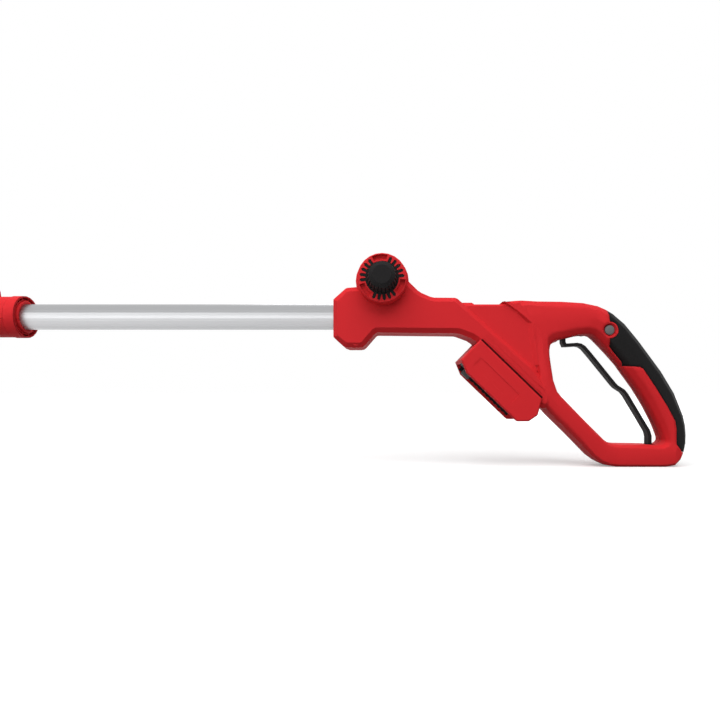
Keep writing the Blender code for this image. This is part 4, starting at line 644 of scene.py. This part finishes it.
studio = {
    "floorSeen": (0.80, 0.80, 0.80, 1),
    "floorBounce": (0.22, 0.22, 0.22, 1),
    "floorRough": 0.8,
    "floorSpecular": 0.1,
    "floorHalf": 30.0,
    "mottle": {"scale": 3.0, "detail": 2.0},
    "mottleShade": 0.99,
    "glowReach": (0.3, 1.5),
    "glow": (0.30, 1.0),
    "worldStrength": 0.21,
    "lens": 28.0,
    "sensor": 36.0,
    "clip": (0.01, 100.0),
    "eye": (-0.246, -0.560, 0.0722),
    "shift": (-0.0417, 0.0458),
}
lamps = {
    "key": dict(
        at=(-0.45, -0.72, 1.25), toward=(-0.3, 0, 0.1), size=(2.2, 1.5), power=29, mirrored=False,
    ),
    "fill": dict(
        at=(-1.10, -1.7, 0.40), toward=(-0.35, 0, 0.12), size=(2.0, 0.6), power=8.0, mirrored=True,
    ),
    "back": dict(
        at=(0.0, 1.2, 1.1), toward=(-0.3, 0, 0.1), size=(1.6, 0.6), power=6, mirrored=True,
    ),
}


def seenRays(tree):
    # Rays that show the background itself: to the camera, in a gloss, or through glass
    path = addNode(tree, "ShaderNodeLightPath").outputs
    seen = calculate(tree, "MAXIMUM", path["Is Camera Ray"], path["Is Glossy Ray"])
    return calculate(tree, "MAXIMUM", seen, path["Is Transmission Ray"])


def floorMaterial():
    material, tree, shader = startMaterial("pale floor")
    shader.inputs["Roughness"].default_value = studio["floorRough"]
    shader.inputs["Specular IOR Level"].default_value = studio["floorSpecular"]
    place = objectPlace(tree)
    mottle = noise(tree, place, **studio["mottle"])
    darker = shade(studio["floorSeen"], studio["mottleShade"])
    tone = mixColour(tree, mottle, darker, studio["floorSeen"])
    seen = seenRays(tree)
    shown = mixColour(tree, seen, studio["floorBounce"], tone)
    tree.links.new(shown, shader.inputs["Base Color"])
    # The far floor meets the white background without a line
    reach = addNode(tree, "ShaderNodeVectorMath", {0: place}, operation="LENGTH")
    glow = remap(
        tree, reach.outputs["Value"], studio["glowReach"], studio["glow"],
        interpolation_type="SMOOTHSTEP",
    )
    white = mixColour(tree, calculate(tree, "MULTIPLY", glow, seen), (0, 0, 0, 1), (1, 1, 1, 1))
    tree.links.new(white, shader.inputs["Emission Color"])
    shader.inputs["Emission Strength"].default_value = 1.0
    return material


def makeFloor():
    mesh = bpy.data.meshes.new("floor")
    half = studio["floorHalf"]
    corners = [(-half, -half, 0), (half, -half, 0), (half, half, 0), (-half, half, 0)]
    mesh.from_pydata(corners, [], [(0, 1, 2, 3)])
    mesh.materials.append(floorMaterial())
    floor = bpy.data.objects.new("floor", mesh)
    bpy.context.scene.collection.objects.link(floor)


def makeWorld():
    world = bpy.data.worlds.new("studio")
    bpy.context.scene.world = world
    world.use_nodes = True
    tree = world.node_tree
    tree.nodes.clear()
    strength = remap(tree, seenRays(tree), (0.0, 1.0), (studio["worldStrength"], 1.0))
    white = {"Color": (1, 1, 1, 1), "Strength": strength}
    background = addNode(tree, "ShaderNodeBackground", white)
    output = addNode(tree, "ShaderNodeOutputWorld")
    tree.links.new(background.outputs[0], output.inputs["Surface"])


def softBox(name, at, toward, size, power, mirrored):
    light = bpy.data.lights.new(name, "AREA")
    light.shape = "RECTANGLE"
    light.size, light.size_y = size
    light.energy = power
    lamp = bpy.data.objects.new(name, light)
    bpy.context.scene.collection.objects.link(lamp)
    lamp.location = at
    lamp.rotation_euler = (Vector(toward) - Vector(at)).to_track_quat("-Z", "Y").to_euler()
    lamp.visible_glossy = mirrored


def makeCamera():
    camera = bpy.data.cameras.new("camera")
    camera.lens = studio["lens"]
    camera.sensor_width = studio["sensor"]
    camera.clip_start, camera.clip_end = studio["clip"]
    camera.shift_x, camera.shift_y = studio["shift"]
    holder = bpy.data.objects.new("camera", camera)
    bpy.context.scene.collection.objects.link(holder)
    holder.location = studio["eye"]
    holder.rotation_euler = (math.pi / 2, 0, 0)
    bpy.context.scene.camera = holder


makeFloor()
makeWorld()
for name, lamp in lamps.items():
    softBox(name, **lamp)
makeCamera()
bpy.context.scene.view_settings.view_transform = "Standard"
print("floor, light and camera set")
